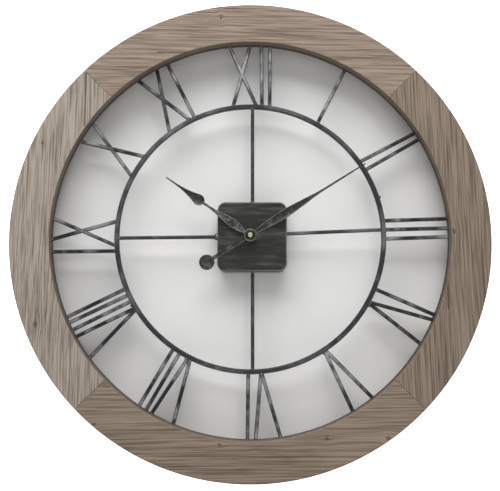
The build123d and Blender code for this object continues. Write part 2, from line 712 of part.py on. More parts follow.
CIRCUIT_LOW = SECOND_LAYER - CIRCUIT_DROP
CIRCUIT_FRONT = CIRCUIT_LOW + CIRCUIT_T
CIRCUIT_AT = (COIL_X + CIRCUIT_BESIDE, COIL_Z + CIRCUIT_ABOVE)


def circuit_board():
    return slab(Pos(*CIRCUIT_AT) * Rectangle(CIRCUIT_W, CIRCUIT_H), CIRCUIT_LOW, CIRCUIT_FRONT)


def chip_blob():
    plane = plane_at((CIRCUIT_AT[0] + CHIP_BESIDE, CIRCUIT_AT[1]), CIRCUIT_FRONT)
    return Solid.make_cone(CHIP_R, CHIP_TOP_R, CHIP_T, plane=plane)


def crystal():
    at_x, low = CIRCUIT_AT[0] + CRYSTAL_BESIDE, CIRCUIT_AT[1] - CRYSTAL_L / 2
    return upright_disc(CRYSTAL_R, low, low + CRYSTAL_L, at_x, CIRCUIT_FRONT + CRYSTAL_R)


# ---- motion works and hands --------------------------------------------------------------
def minute_arbor():
    """Arbor with the cannon pinion; its rear end carries the centre wheel."""
    collar = MOTION_LAYER - PINION_T / 2
    arbor = disc(ARBOR_R, collar, MINUTE_HAND_OUT)
    arbor += gear(CENTRE_AT, CANNON_TEETH, MOTION_MODULE, CANNON_PHASE, MOTION_LAYER, PINION_T)
    arbor += disc(CENTRE_BORE_R - RUN, CENTRE_LAYER - PINION_T / 2, collar)
    arbor += disc(PIVOT_R, PIVOT_BACK, collar)
    neck_end = MINUTE_HAND_OUT + HAND_T + HAND_NUT_T - ARBOR_SHORT
    return arbor + disc(ARBOR_NECK_R, MINUTE_HAND_OUT, neck_end)


def centre_wheel():
    wheel = gear(CENTRE_AT, CENTRE_TEETH, CENTRE_MODULE, CENTRE_PHASE, CENTRE_LAYER, WHEEL_T)
    return wheel - disc(CENTRE_BORE_R, 0, BOARD_FRONT)


def clutch_spring():
    """Dished washer between the centre wheel and the cannon pinion."""
    high = MOTION_LAYER - PINION_T / 2
    return tube(CLUTCH_R, CENTRE_BORE_R - RUN, high - CLUTCH_T, high)


def hour_wheel():
    wheel = gear(CENTRE_AT, HOUR_TEETH, HOUR_MODULE, HOUR_PHASE, HOUR_LAYER, WHEEL_T)
    wheel += disc(HOUR_TUBE_R, HOUR_LAYER, HOUR_HAND_OUT + HAND_T)
    return wheel - disc(TUBE_BORE_R, 0, BOARD_FRONT)


def motion_wheel():
    wheel = gear(MOTION_AT, MOTION_TEETH, MOTION_MODULE, MOTION_PHASE, MOTION_LAYER, WHEEL_T)
    pinion_low, pinion_high = MOTION_LAYER, HOUR_LAYER + PINION_T / 2 - PINION_SHORT
    outline = gear_outline(MOTION_PINION_TEETH, HOUR_MODULE, MOTION_PINION_PHASE)
    wheel += slab(Pos(*MOTION_AT) * outline, pinion_low, pinion_high)
    return wheel - disc(STUD_R + PIVOT_RUN, 0, BOARD_FRONT, MOTION_AT)


def setting_knob():
    """Pinion, stem and fluted knob in one moulding; the knob stands behind the case."""
    low = CASE_BACK - SHOULDER_PLAY
    knob = disc(KNOB_R, low - KNOB_T, low, KNOB_AT)
    for flute in range(KNOB_FLUTES):
        at = step_from(KNOB_AT, KNOB_R, flute * 360 / KNOB_FLUTES)
        knob -= disc(KNOB_FLUTE_R, low - KNOB_T, low, at)
    knob += disc(KNOB_SHAFT_R, low, MOTION_LAYER, KNOB_AT)
    return knob + gear(KNOB_AT, KNOB_TEETH, MOTION_MODULE, KNOB_PHASE, MOTION_LAYER, PINION_T)


def blade(stations, foot_arc=None):
    """Flat leaf along +Y: a smooth curve through (distance, half width) stations on each side,
    and a straight needle to the last one. foot_arc, if given, is how far down a round foot goes.
    """
    tip_at, tip_half = stations[-1]
    left = Spline(*[(-half, along) for along, half in stations[:-1]])
    right = Spline(*[(half, along) for along, half in stations[:-1]])
    needle = Polyline(left @ 1, (-tip_half, tip_at), (tip_half, tip_at), right @ 1)
    foot = Line(left @ 0, right @ 0)
    if foot_arc is not None:
        foot = ThreePointArc(left @ 0, (0, foot_arc), right @ 0)
    return make_face(Curve() + [left, right, foot, needle])


def hour_hand():
    outline = blade(HOUR_LEAF) + blade(HOUR_POINT, SPADE_FOOT) + Circle(HOUR_BOSS_R)
    outline = Rot(0, 0, -HOUR_ANGLE) * (outline - Circle(HOUR_TUBE_R))
    return slab(outline, HOUR_HAND_OUT, HOUR_HAND_OUT + HAND_T)


def minute_hand():
    wide, narrow = TAIL_HALF_WIDTHS
    corners = [(-wide, 0), (wide, 0), (narrow, -TAIL_LENGTH), (-narrow, -TAIL_LENGTH)]
    tail = Polyline(*corners, close=True)
    outline = blade(MINUTE_BLADE) + make_face(tail)
    outline += Pos(0, -TAIL_LENGTH) * Circle(TAIL_DISC_R)
    front = MINUTE_HAND_OUT + HAND_T
    hand = slab(Rot(0, 0, -MINUTE_ANGLE) * outline, MINUTE_HAND_OUT, front)
    hand += disc(HAND_BOSS_R, MINUTE_HAND_OUT, front + BOSS_RIM_H)
    hand -= disc(BOSS_RIM_R, front, front + BOSS_RIM_H)
    return hand - disc(ARBOR_NECK_R, MINUTE_HAND_OUT, front)


def hand_nut():
    low = MINUTE_HAND_OUT + HAND_T
    nut = tube(HAND_NUT_R, ARBOR_NECK_R, low, low + HAND_NUT_T)
    return fillet(edges_at(nut, low + HAND_NUT_T, HAND_NUT_R), HAND_NUT_EDGE_R)


def main():
    os.makedirs("parts", exist_ok=True)
    for name, board in boards().items():
        save(f"board_{name}", board)
    save("mitre_biscuits", *[biscuit(degrees) for degrees in (45, 135, 225, 315)])
    save("backing_ring", backing_ring())
    save("frame_screws", *frame_screws())
    save("hanger_plate", hanger_plate())
    save("hanger_screws", *hanger_screws())

    save("iron_outer_ring", iron_ring(RING_IN_R, RING_OUT_R))
    save("iron_inner_ring", iron_ring(INNER_RING_IN_R, INNER_RING_OUT_R))
    for hour, (name, strokes) in enumerate(NUMERALS.items()):
        save(f"numeral_{name}", numeral(hour, strokes))
    for name, place in SPOKES.items():
        save(f"spoke_{name}", spoke(*place))
    save("movement_box", movement_box())

    save("movement_front_case", front_case())
    save("movement_back_case", back_case())
    save("threaded_bush", threaded_bush())
    save("case_gasket", tube(GASKET_R, BUSH_R, CASE_FRONT, CASE_FRONT + GASKET_T))
    save("bush_washer", tube(WASHER_R, BUSH_R, BOX_FLOOR, BOX_FLOOR + WASHER_T))
    save("bush_nut", hex_nut())
    save("battery", battery())
    save("contact_plus", battery_contact(1))
    save("contact_minus", battery_contact(-1))

    save("stator_plate", stator())
    save("coil_core", coil_core())
    save("coil_bobbin", coil_bobbin())
    save("coil_winding", coil_winding())
    save("circuit_board", circuit_board())
    save("timing_chip", chip_blob())
    save("timing_crystal", crystal())

    rotor_pinion = (ROTOR_TEETH, FIFTH_MODULE, ROTOR_PHASE, FIFTH_LAYER)
    fifth_pinion = (FIFTH_PINION_TEETH, SECOND_MODULE, FIFTH_PINION_PHASE, SECOND_LAYER)
    fifth = (FIFTH_TEETH, FIFTH_MODULE, FIFTH_PHASE, FIFTH_LAYER)
    second_pinion = (SECOND_PINION_TEETH, THIRD_MODULE, SECOND_PINION_PHASE, THIRD_LAYER)
    second = (SECOND_TEETH, SECOND_MODULE, SECOND_PHASE, SECOND_LAYER)
    third_pinion = (THIRD_PINION_TEETH, CENTRE_MODULE, THIRD_PINION_PHASE, CENTRE_LAYER)
    third = (THIRD_TEETH, THIRD_MODULE, THIRD_PHASE, THIRD_LAYER)
    magnet = tube(MAGNET_R, SHAFT_R, SECOND_LAYER - MAGNET_T / 2, SECOND_LAYER + MAGNET_T / 2, ROTOR_AT)
    save("rotor_arbor", train_arbor(ROTOR_AT, rotor_pinion))
    save("rotor_magnet", magnet)
    save("fifth_wheel", train_arbor(FIFTH_AT, fifth_pinion, fifth))
    save("second_wheel", train_arbor(SECOND_AT, second_pinion, second))
    save("third_wheel", train_arbor(THIRD_AT, third_pinion, third))
    save("centre_wheel", centre_wheel())

    save("minute_arbor", minute_arbor())
    save("clutch_spring", clutch_spring())
    save("hour_wheel", hour_wheel())
    save("motion_wheel", motion_wheel())
    save("setting_knob", setting_knob())
    save("hour_hand", hour_hand())
    save("minute_hand", minute_hand())
    save("hand_nut", hand_nut())


main()
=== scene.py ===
# %% [markdown]
# # An open-dial wall clock
# A ring of four fir boards holds a dial that is welded from iron bar: two rings, twelve Roman
# numerals and four spokes that carry an iron box. The box covers a small quartz movement, and two
# hands with spade and leaf shapes turn in front of it. The CAD model already has every part at its
# true size, so this lesson adds what CAD leaves out: finishes, cast hands, weld beads and light.

# %% Load the clock
import math

import bmesh
import bpy
from mathutils import Matrix, Vector, noise


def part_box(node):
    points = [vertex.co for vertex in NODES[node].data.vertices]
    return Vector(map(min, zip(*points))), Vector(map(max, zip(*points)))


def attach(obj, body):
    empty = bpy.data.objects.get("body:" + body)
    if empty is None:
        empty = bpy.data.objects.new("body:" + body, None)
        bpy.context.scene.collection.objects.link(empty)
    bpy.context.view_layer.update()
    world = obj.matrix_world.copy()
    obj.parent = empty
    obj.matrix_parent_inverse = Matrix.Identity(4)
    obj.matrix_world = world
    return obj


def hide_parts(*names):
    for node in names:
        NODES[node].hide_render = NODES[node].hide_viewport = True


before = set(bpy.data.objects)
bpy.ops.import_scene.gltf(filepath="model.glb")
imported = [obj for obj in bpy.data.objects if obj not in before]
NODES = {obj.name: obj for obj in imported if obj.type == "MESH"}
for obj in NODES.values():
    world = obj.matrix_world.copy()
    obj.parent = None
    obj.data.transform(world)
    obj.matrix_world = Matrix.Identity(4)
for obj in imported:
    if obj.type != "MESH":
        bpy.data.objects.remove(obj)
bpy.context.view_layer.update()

MM = 0.001

# %% [markdown]
# ## The camera
# The clock is seen straight on from a little below its centre, 0.9 m away, so the underside of
# the top board's opening shows and the foot's hides. The camera aims at the middle of the dial
# on the boards' front face. The shift then moves the clock a little up in the frame, which a
# turn of the camera would do only by changing the angle.

# %% Camera
SIGHT = Vector((0.0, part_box("board_top")[0].y, 0.0))
RISE = math.radians(-7.0)
DISTANCE = 0.905
LENS_MM = 52.5
SHIFT_X, SHIFT_Y = -0.0006, -0.021  # shares of the frame's width
camera_data = bpy.data.cameras.new("camera")
camera_data.lens = LENS_MM
camera_data.shift_x = SHIFT_X
camera_data.shift_y = SHIFT_Y
camera = bpy.data.objects.new("camera", camera_data)
bpy.context.scene.collection.objects.link(camera)
look_back = Vector((0.0, -math.cos(RISE), math.sin(RISE)))
camera.location = SIGHT + look_back * DISTANCE
camera.rotation_mode = "QUATERNION"
camera.rotation_quaternion = (-look_back).to_track_quat("-Z", "Y")
bpy.context.scene.camera = camera
print("camera at", tuple(round(c, 3) for c in camera.location))

# %% [markdown]
# ## Node helpers
# Every finish here is a small tree of shader nodes. A few helpers keep the trees short to read:
# they add a node with its settings, do sums, ease a value from one range to another, and mix two
# colours. A finish that several materials share is a node group, so it is drawn once and placed
# with its own values each time. Noise scales are per metre, so 500 makes grains of about 2 mm.

# %% Helpers for node trees
def plug(tree, socket, value):
    """Links another socket to this one, or sets this one's own value."""
    if isinstance(value, bpy.types.NodeSocket):
        tree.links.new(value, socket)
    else:
        socket.default_value = value


def add(tree, kind, inputs=None, **settings):
    """Adds a node. inputs maps a socket's name or number to a value or to another socket."""
    node = tree.nodes.new(kind)
    for name, value in settings.items():
        setattr(node, name, value)
    for name, value in (inputs or {}).items():
        plug(tree, node.inputs[name], value)
    return node


def math_node(tree, operation, a, b=0.0, clamp=False):
    return add(tree, "ShaderNodeMath", {0: a, 1: b}, operation=operation, use_clamp=clamp).outputs[0]


def plus(tree, a, b, clamp=False):
    return math_node(tree, "ADD", a, b, clamp)


def minus(tree, a, b):
    return math_node(tree, "SUBTRACT", a, b)


def times(tree, a, b, clamp=False):
    return math_node(tree, "MULTIPLY", a, b, clamp)


def axes(tree, vector):
    """The X, Y and Z of a vector, as sockets."""
    return add(tree, "ShaderNodeSeparateXYZ", {0: vector}).outputs


def apart(tree, a, b):
    """Vector a less vector b."""
    return add(tree, "ShaderNodeVectorMath", {0: a, 1: b}, operation="SUBTRACT").outputs[0]


def length_of(tree, a, b):
    """The length of a right-angled pair of distances."""
    squares = [math_node(tree, "POWER", side, 2.0) for side in (a, b)]
    return math_node(tree, "SQRT", plus(tree, *squares))


def from_hands_line(tree, place_at):
    """How far a point is from the line on which the hands turn, in metres."""
    spot = axes(tree, place_at)
    return length_of(tree, spot["X"], spot["Z"])


def ramp(tree, value, low, high, to_low=0.0, to_high=1.0):
    """value from low to high becomes to_low to to_high, eased at both ends."""
    inputs = dict(enumerate((value, low, high, to_low, to_high)))
    return add(tree, "ShaderNodeMapRange", inputs, interpolation_type="SMOOTHSTEP").outputs[0]


def mix(tree, factor, a, b):
    """Colour a where factor is 0, and colour b where it is 1."""
    return add(tree, "ShaderNodeMix", {0: factor, 6: a, 7: b}, data_type="RGBA").outputs[2]


def noise_node(tree, vector, scale, detail=3.0, roughness=0.55):
    inputs = {"Vector": vector, "Scale": scale, "Detail": detail, "Roughness": roughness}
    return add(tree, "ShaderNodeTexNoise", inputs).outputs["Fac"]


def stretched(tree, vector, scale, at=(0.0, 0.0, 0.0)):
    return add(tree, "ShaderNodeMapping", {"Vector": vector, "Location": at, "Scale": scale}).outputs[0]


def turned(tree, vector, about_x=0.0, about_y=0.0, about_z=0.0):
    """A position turned by degrees about each axis."""
    turn = tuple(math.radians(angle) for angle in (about_x, about_y, about_z))
    return add(tree, "ShaderNodeMapping", {"Vector": vector, "Rotation": turn}).outputs[0]


def wave_scale(width_mm):
    """The Scale at which a Wave Texture repeats every width_mm. At 1 it repeats every tau / 20 metres."""
    return math.tau / 20 / (width_mm * MM)


def new_group(name, inputs, outputs):
    """A shader node group with float, colour or vector sockets: (name, type letter, default)."""
    kinds = {"f": "NodeSocketFloat", "c": "NodeSocketColor", "v": "NodeSocketVector"}
    group = bpy.data.node_groups.new(name, "ShaderNodeTree")
    for title, kind, default in inputs:
        socket = group.interface.new_socket(title, in_out="INPUT", socket_type=kinds[kind])
        if default is not None:
            socket.default_value = default
    for title, kind in outputs:
        group.interface.new_socket(title, in_out="OUTPUT", socket_type=kinds[kind])
    return group, group.nodes.new("NodeGroupInput").outputs, group.nodes.new("NodeGroupOutput").inputs


def place(tree, group, inputs):
    """Places a node group in a tree and gives its outputs."""
    node = tree.nodes.new("ShaderNodeGroup")
    node.node_tree = group
    for name, value in inputs.items():
        plug(tree, node.inputs[name], value)
    return node.outputs


def rgb(red, green, blue):
    """A colour as a screen shows it, from 0 to 255, turned to the linear values that Blender mixes."""
    shares = [value / 255 for value in (red, green, blue)]
    linear = [c / 12.92 if c <= 0.04045 else ((c + 0.055) / 1.055) ** 2.4 for c in shares]
    return (*linear, 1.0)


def new_material(name, **sockets):
    """A material with its Principled shader. sockets sets uniform values on the shader itself."""
    material = bpy.data.materials.new(name)
    material.use_nodes = True
    tree = material.node_tree
    tree.nodes.clear()
    shader = tree.nodes.new("ShaderNodeBsdfPrincipled")
    output = tree.nodes.new("ShaderNodeOutputMaterial")
    tree.links.new(shader.outputs[0], output.inputs["Surface"])
    for title, value in sockets.items():
        shader.inputs[title.replace("_", " ")].default_value = value
    place_at = tree.nodes.new("ShaderNodeTexCoord").outputs["Object"]
    return material, tree, shader, place_at


def feed(tree, shader, color=None, roughness=None, metallic=None, height=None, bump_mm=0.2, strength=1.0):
    """Joins what a finish worked out to the shader, with the height through a Bump node."""
    for title, socket in (("Base Color", color), ("Roughness", roughness), ("Metallic", metallic)):
        if socket is not None:
            tree.links.new(socket, shader.inputs[title])
    if height is not None:
        bump = add(tree, "ShaderNodeBump", {"Strength": strength, "Distance": bump_mm * MM, "Height": height})
        tree.links.new(bump.outputs[0], shader.inputs["Normal"])


def paint(material, *names):
    """Gives CAD nodes their material."""
    for name in names:
        NODES[name].data.materials.clear()
        NODES[name].data.materials.append(material)


print("helpers ready")

# %% [markdown]
# ## Facing
# Several finishes depend on which way a surface faces: silver rub and a painted highlight go onto
# the flat front of a bar and not into its corners, a board's sawn edge has another colour than its
# face, partly painted shade, and its rounded lip takes a painted highlight. The group gives three
# masks from the surface's own normal, so they hold from every side.

# %% Facing masks
facing, _, out = new_group("facing", [], [("Front", "f"), ("Edge", "f"), ("Side", "f")])
facing_normal = facing.nodes.new("ShaderNodeNewGeometry").outputs["Normal"]
towards_wall = math_node(facing, "ABSOLUTE", axes(facing, facing_normal)["Y"])
facing.links.new(ramp(facing, towards_wall, 0.86, 0.985), out["Front"])
corner_low = ramp(facing, towards_wall, 0.2, 0.55)
corner_high = ramp(facing, towards_wall, 0.8, 0.985, 1.0, 0.0)
facing.links.new(times(facing, corner_low, corner_high), out["Edge"])
facing.links.new(ramp(facing, towards_wall, 0.35, 0.75, 1.0, 0.0), out["Side"])
print("facing group:", len(facing.nodes), "nodes")

# %% [markdown]
# ## Fir boards
# The boards are fir that was brushed hard and greyed: the soft early wood is worn down and pale,
# and each hard late ring stands up as a thin darker line. A board is a slice through a trunk, so
# its pattern is a set of rings round an axis that runs nearly along the board. Where the axis
# tilts, the rings open into the long pointed arches of a flat-sawn board. One group makes this
# from a position whose X runs along the grain, and every board places it with its own tilt.

# %% Fir grain group
SWING, RIPPLE = 5.0 * MM, 0.6 * MM  # how far the rings wander, slowly and quickly
fir, given, out = new_group(
    "fir_grain",
    [("Vector", "v", None), ("Pale", "c", rgb(190, 176, 160)), ("Dark", "c", rgb(96, 84, 74)),
     ("Ring Gap mm", "f", 5.0)],
    [("Color", "c"), ("Height", "f"), ("Roughness", "f")])
slow = noise_node(fir, stretched(fir, given["Vector"], (1.6, 8.0, 8.0)), 1.0, 2.0)
quick = noise_node(fir, stretched(fir, given["Vector"], (6.0, 40.0, 40.0)), 1.0, 2.0)
drift = plus(fir, times(fir, minus(fir, slow, 0.5), SWING), times(fir, minus(fir, quick, 0.5), RIPPLE))
split = axes(fir, given["Vector"])
moved = plus(fir, split["Y"], drift)
bent = add(fir, "ShaderNodeCombineXYZ", {0: split["X"], 1: moved, 2: split["Z"]}).outputs[0]
ring_scale = math_node(fir, "DIVIDE", wave_scale(1.0), given["Ring Gap mm"])
rings = add(fir, "ShaderNodeTexWave", {"Vector": bent, "Scale": ring_scale},
            wave_type="RINGS", rings_direction="X", wave_profile="SAW").outputs["Fac"]
late = times(fir, ramp(fir, rings, 0.4, 0.88), ramp(fir, rings, 0.92, 1.0, 1.0, 0.1))
patchy = noise_node(fir, stretched(fir, bent, (2.5, 60.0, 60.0)), 1.0, 3.0)
late = times(fir, late, ramp(fir, patchy, 0.38, 0.62, 0.35, 1.0))
fibre = noise_node(fir, stretched(fir, bent, (1.1, 520.0, 520.0)), 1.0, 3.0, 0.55)
thread = noise_node(fir, stretched(fir, bent, (5.0, 1000.0, 1000.0)), 1.0, 2.0, 0.7)
cloud = noise_node(fir, stretched(fir, given["Vector"], (8.0, 22.0, 22.0)), 1.0, 4.0, 0.6)
grey = plus(fir, times(fir, late, 0.18), ramp(fir, fibre, 0.36, 0.64, -0.08, 0.62))
grey = plus(fir, grey, ramp(fir, thread, 0.34, 0.66, -0.26, 0.3))
grey = plus(fir, grey, ramp(fir, cloud, 0.3, 0.7, -0.08, 0.1), clamp=True)
fir.links.new(mix(fir, grey, given["Pale"], given["Dark"]), out["Color"])
raised = plus(fir, times(fir, late, 0.5), times(fir, fibre, -0.8))
raised = plus(fir, raised, times(fir, thread, -0.3))
fir.links.new(raised, out["Height"])
fir.links.new(ramp(fir, grey, 0.0, 1.0, 0.88, 0.74), out["Roughness"])
print("fir_grain group:", len(fir.nodes), "nodes")

# %% [markdown]
# ## Knots
# A knot is where a branch left the trunk. It is a small dark core, and the rings beside it swing
# round it. This group takes the same position as the grain and draws it in towards the knot's
# own line before the grain reads it, which bends the lines outwards round the knot. It also gives
# a mask of the dark core. Knots can be chained, because each hands on the position that it bent.

# %% Knot group
knot, given, out = new_group(
    "knot",
    [("Vector", "v", None), ("Centre", "v", (0.0, 0.0, 0.0)), ("Size mm", "f", 4.0), ("Long", "f", 1.4)],
    [("Vector", "v"), ("Core", "f")])
gap = axes(knot, apart(knot, given["Vector"], given["Centre"]))
size = times(knot, given["Size mm"], MM)
x_share = math_node(knot, "DIVIDE", math_node(knot, "DIVIDE", gap["X"], size), given["Long"])
y_share = math_node(knot, "DIVIDE", gap["Y"], size)
far = length_of(knot, x_share, y_share)
near = math_node(knot, "EXPONENT", times(knot, math_node(knot, "POWER", far, 2.0), -0.16))
back_in = times(knot, times(knot, gap["Y"], near), -0.7)
push = add(knot, "ShaderNodeCombineXYZ", {1: back_in}).outputs[0]
pushed = add(knot, "ShaderNodeVectorMath", {0: given["Vector"], 1: push}, operation="ADD").outputs[0]
knot.links.new(pushed, out["Vector"])
ragged = times(knot, noise_node(knot, given["Vector"], 260.0, 2.0), 0.7)
knot.links.new(ramp(knot, plus(knot, far, ragged), 0.75, 1.45, 1.0, 0.0), out["Core"])
print("knot group:", len(knot.nodes), "nodes")

# %% [markdown]
# ## A material for each board
# The four boards come from different planks, so each has its own ring spacing and knots. Their
# tones differ too: the left board is the palest, then the top one, and the right and bottom ones are
# the darkest. The grain runs along each board: level in the top and bottom ones, upright in the two
# at the sides.
# Mapping nodes turn the position so that X follows the grain, move it to where the trunk's middle
# was, and tilt it. The sawn rims take a brown of their own, in fine lines that run round them, and
# this brown is darkened in part as painted shade from the depth of the opening. The opening's
# rounded lip is painted pale as a highlight, and the outer edge is darker.

# %% Board materials
# the darker rim brown is partly the sawn wood's own colour and partly painted shade in the opening
RAW_WOOD, RIM_BROWN_AND_SHADE = rgb(116, 104, 92), rgb(78, 68, 60)
CORE_DARK, CRACK_DARK = rgb(66, 52, 44), rgb(66, 54, 46)
# a painted highlight for the opening's rounded lip, and a darker tone for the outer edge
LIP_HIGHLIGHT, OUTER_EDGE_DARK = rgb(176, 150, 124), rgb(84, 72, 62)
LIP_TO_EDGE = (0.26, 0.28)  # metres from the hands' line, between the opening and the outer edge
CRACK_WIDTH = (0.4 * MM, 1.5 * MM)  # darkest within the first, gone at the second
CRACK_FADE = 3.0 * MM
CRACK_SHADE, CORE_SHADE, RIM_SHADE, EDGE_SHADE = 0.8, 0.6, 0.85, 0.6  # 1 hides the grain
BOARDS = {
    # name: (degrees to follow the grain, tilt of the trunk in degrees, trunk's middle in mm,
    #        ring gap in mm, pale, dark, knots as (along, across, size, length))
    "top": (0.0, (1.0, 1.2), (0, 345, -35), 3.4, rgb(172, 155, 140), rgb(106, 90, 79),
            [(-38, 282, 3.6, 0.5)]),
    "bottom": (0.0, (-0.8, 0.8), (0, -190, -30), 3.0, rgb(160, 144, 127), rgb(90, 77, 66),
               [(-188, -229, 2.4, 1.8), (-37, -253, 2.2, 1.6), (92, -246, 2.8, 1.4), (166, -246, 3.6, 1.2)]),
    "left": (90.0, (0.6, -1.6), (0, 262, -38), 3.6, rgb(186, 174, 162), rgb(110, 97, 86),
             [(117, 262, 1.8, 1.3), (-110, 263, 2.8, 1.5)]),
    "right": (90.0, (-1.2, 1.0), (0, -340, -45), 3.2, rgb(158, 142, 126), rgb(90, 77, 67),
              [(5, -253, 3.0, 1.5)]),
}
# drying cracks: the middle's place along and across the grain, and the length, in mm
CRACKS = {"left": (174, 209.5, 68), "top": (-96, 236, 44), "right": (-60, -243, 60)}


def crack_mask(tree, flat, along_mm, across_mm, length_mm):
    """How much a drying crack that follows the grain darkens the wood, and 0 away from it."""
    mark = axes(tree, apart(tree, flat, (along_mm * MM, across_mm * MM, 0.0)))
    beside = math_node(tree, "ABSOLUTE", mark["Y"])
    beyond = math_node(tree, "ABSOLUTE", mark["X"])
    half = length_mm * MM / 2
    return times(tree, ramp(tree, beside, *CRACK_WIDTH, 1.0, 0.0),
                 ramp(tree, beyond, half, half + CRACK_FADE, CRACK_SHADE, 0.0))


def board_material(name):
    turn, tilt, middle, gap_mm, pale, dark, knots = BOARDS[name]
    material, tree, shader, at = new_material("fir_" + name, IOR=1.45)
    # Z leaves the board's face, so that Y and Z lie across the grain
    flat = turned(tree, turned(tree, at, about_x=-90), about_z=-turn)
    cores = []
    for along_mm, across_mm, size_mm, long in knots:
        knotted = place(tree, knot, {"Vector": flat, "Centre": (along_mm * MM, across_mm * MM, 0.0),
                                     "Size mm": size_mm, "Long": long})
        flat = knotted["Vector"]
        cores.append(knotted["Core"])
    from_trunk = stretched(tree, flat, (1.0, 1.0, 1.0), at=tuple(-c * MM for c in middle))
    trunk = turned(tree, from_trunk, about_y=tilt[1], about_z=tilt[0])
    grain = place(tree, fir, {"Vector": trunk, "Pale": pale, "Dark": dark, "Ring Gap mm": gap_mm})
    color = grain["Color"]
    if name in CRACKS:
        color = mix(tree, crack_mask(tree, flat, *CRACKS[name]), color, CRACK_DARK)
    for core in cores:
        color = mix(tree, times(tree, core, CORE_SHADE), color, CORE_DARK)
    masks = place(tree, facing, {})
    sawn = noise_node(tree, stretched(tree, at, (60.0, 900.0, 60.0)), 1.0, 3.0)
    # sawn rims: their own brown, darkened in part as painted shade
    rim = mix(tree, ramp(tree, sawn, 0.3, 0.7, 0.1, 0.75), RAW_WOOD, RIM_BROWN_AND_SHADE)
    color = mix(tree, times(tree, masks["Side"], RIM_SHADE), color, rim)
    # painted highlight on the opening's rounded lip, fading to a darker outer edge
    lip_highlight_and_dark_edge = mix(tree, ramp(tree, from_hands_line(tree, at), *LIP_TO_EDGE), LIP_HIGHLIGHT, OUTER_EDGE_DARK)
    color = mix(tree, times(tree, masks["Edge"], EDGE_SHADE), color, lip_highlight_and_dark_edge)
    feed(tree, shader, color, grain["Roughness"], height=grain["Height"], bump_mm=0.35, strength=0.8)
    paint(material, "board_" + name)


for board_name in BOARDS:
    board_material(board_name)
print("boards:", ", ".join(BOARDS))

# %% [markdown]
# ## Rubbed iron and painted highlight
# The dial is black lacquered bar with silver rubbed over it by hand. The silver stays on the flat
# front of each bar and comes and goes along its length, and the sides stay nearly black. This
# silver is partly the rub and partly a painted highlight on the flat fronts. So the group mixes the
# lacquer with silver by an eased mask, where a thin layer of silver gives a dull grey. Two noises
# make the mask: broad patches, and flecks a third of their size. Fine specks break it up.

# %% Rubbed iron and painted highlight group
rubbed, given, out = new_group(
    "rubbed_iron_and_highlight",
    [("Vector", "v", None), ("Lacquer", "c", rgb(38, 38, 38)), ("Silver And Highlight", "c", rgb(170, 170, 168)),
     ("Rub And Highlight", "f", 0.5), ("Patch Size mm", "f", 30.0)],
    [("Color", "c"), ("Roughness", "f"), ("Metallic", "f"), ("Height", "f")])
per_metre = math_node(rubbed, "DIVIDE", 1000.0, given["Patch Size mm"])
patch = noise_node(rubbed, given["Vector"], per_metre, 3.0, 0.6)
flecks = noise_node(rubbed, given["Vector"], times(rubbed, per_metre, 3.0), 3.0, 0.6)
specks = noise_node(rubbed, given["Vector"], 900.0, 2.0, 0.6)
masks = place(rubbed, facing, {})
rub_and_highlight_mask = plus(rubbed, times(rubbed, patch, 0.75), times(rubbed, flecks, 0.3))
threshold = minus(rubbed, 0.86, times(rubbed, given["Rub And Highlight"], 0.6))
rub_and_highlight_mask = ramp(rubbed, minus(rubbed, rub_and_highlight_mask, threshold), -0.08, 0.16)
# painted highlight: the flat front of each bar takes the silver, its corners and sides stay dark
front_highlight = plus(rubbed, times(rubbed, masks["Front"], 0.85), 0.12)
rub_and_highlight_mask = times(rubbed, rub_and_highlight_mask, front_highlight)
speckled_rub_and_highlight = times(rubbed, rub_and_highlight_mask, ramp(rubbed, specks, 0.3, 0.6, 0.8, 1.0))
rubbed.links.new(mix(rubbed, speckled_rub_and_highlight, given["Lacquer"], given["Silver And Highlight"]), out["Color"])
rubbed.links.new(ramp(rubbed, speckled_rub_and_highlight, 0.0, 1.0, 0.42, 0.34), out["Roughness"])
rubbed.links.new(ramp(rubbed, speckled_rub_and_highlight, 0.0, 1.0, 0.25, 0.9), out["Metallic"])
rubbed.links.new(plus(rubbed, specks, times(rubbed, flecks, 1.5)), out["Height"])
print("rubbed_iron_and_highlight group:", len(rubbed.nodes), "nodes")

# %% [markdown]
# The rings, the numerals and the spokes are the same bar, but each has a different amount of silver
# rub and painted highlight, the numerals most. Their materials place the same group with their own
# values.

# %% Iron materials
def iron_material(name, lacquer, silver, rub_and_highlight_amount, patch_mm, bump_mm=0.12):
    material, tree, shader, at = new_material(name)
    iron = place(tree, rubbed, {"Vector": at, "Lacquer": lacquer, "Silver And Highlight": silver, "Rub And Highlight": rub_and_highlight_amount,
                                "Patch Size mm": patch_mm})
    feed(tree, shader, iron["Color"], iron["Roughness"], iron["Metallic"], iron["Height"], bump_mm, 0.6)
    return material


# each material's silver is partly rub and partly painted highlight
bar_iron = iron_material("numeral_iron", rgb(36, 37, 38), rgb(190, 193, 194), 0.56, 42.0)
ring_iron = iron_material("ring_iron", rgb(50, 52, 54), rgb(140, 143, 145), 0.5, 60.0)
spoke_iron = iron_material("spoke_iron", rgb(54, 56, 58), rgb(134, 137, 140), 0.5, 50.0)
HOURS = [name for name in NODES if name.startswith("numeral_")]
paint(bar_iron, *HOURS)
paint(ring_iron, "iron_inner_ring", "iron_outer_ring")
paint(spoke_iron, *[name for name in NODES if name.startswith("spoke_")])
print("iron on", len(HOURS), "numerals, 2 rings and 4 spokes")

# %% [markdown]
# ## The box over the movement
# The box is the darkest iron: black with an olive cast, and cloudy marks where a cloth was drawn
# across it from side to side. A thin pale line is painted as a highlight along the rounded edge of
# its raised rim, mostly at the lower right.

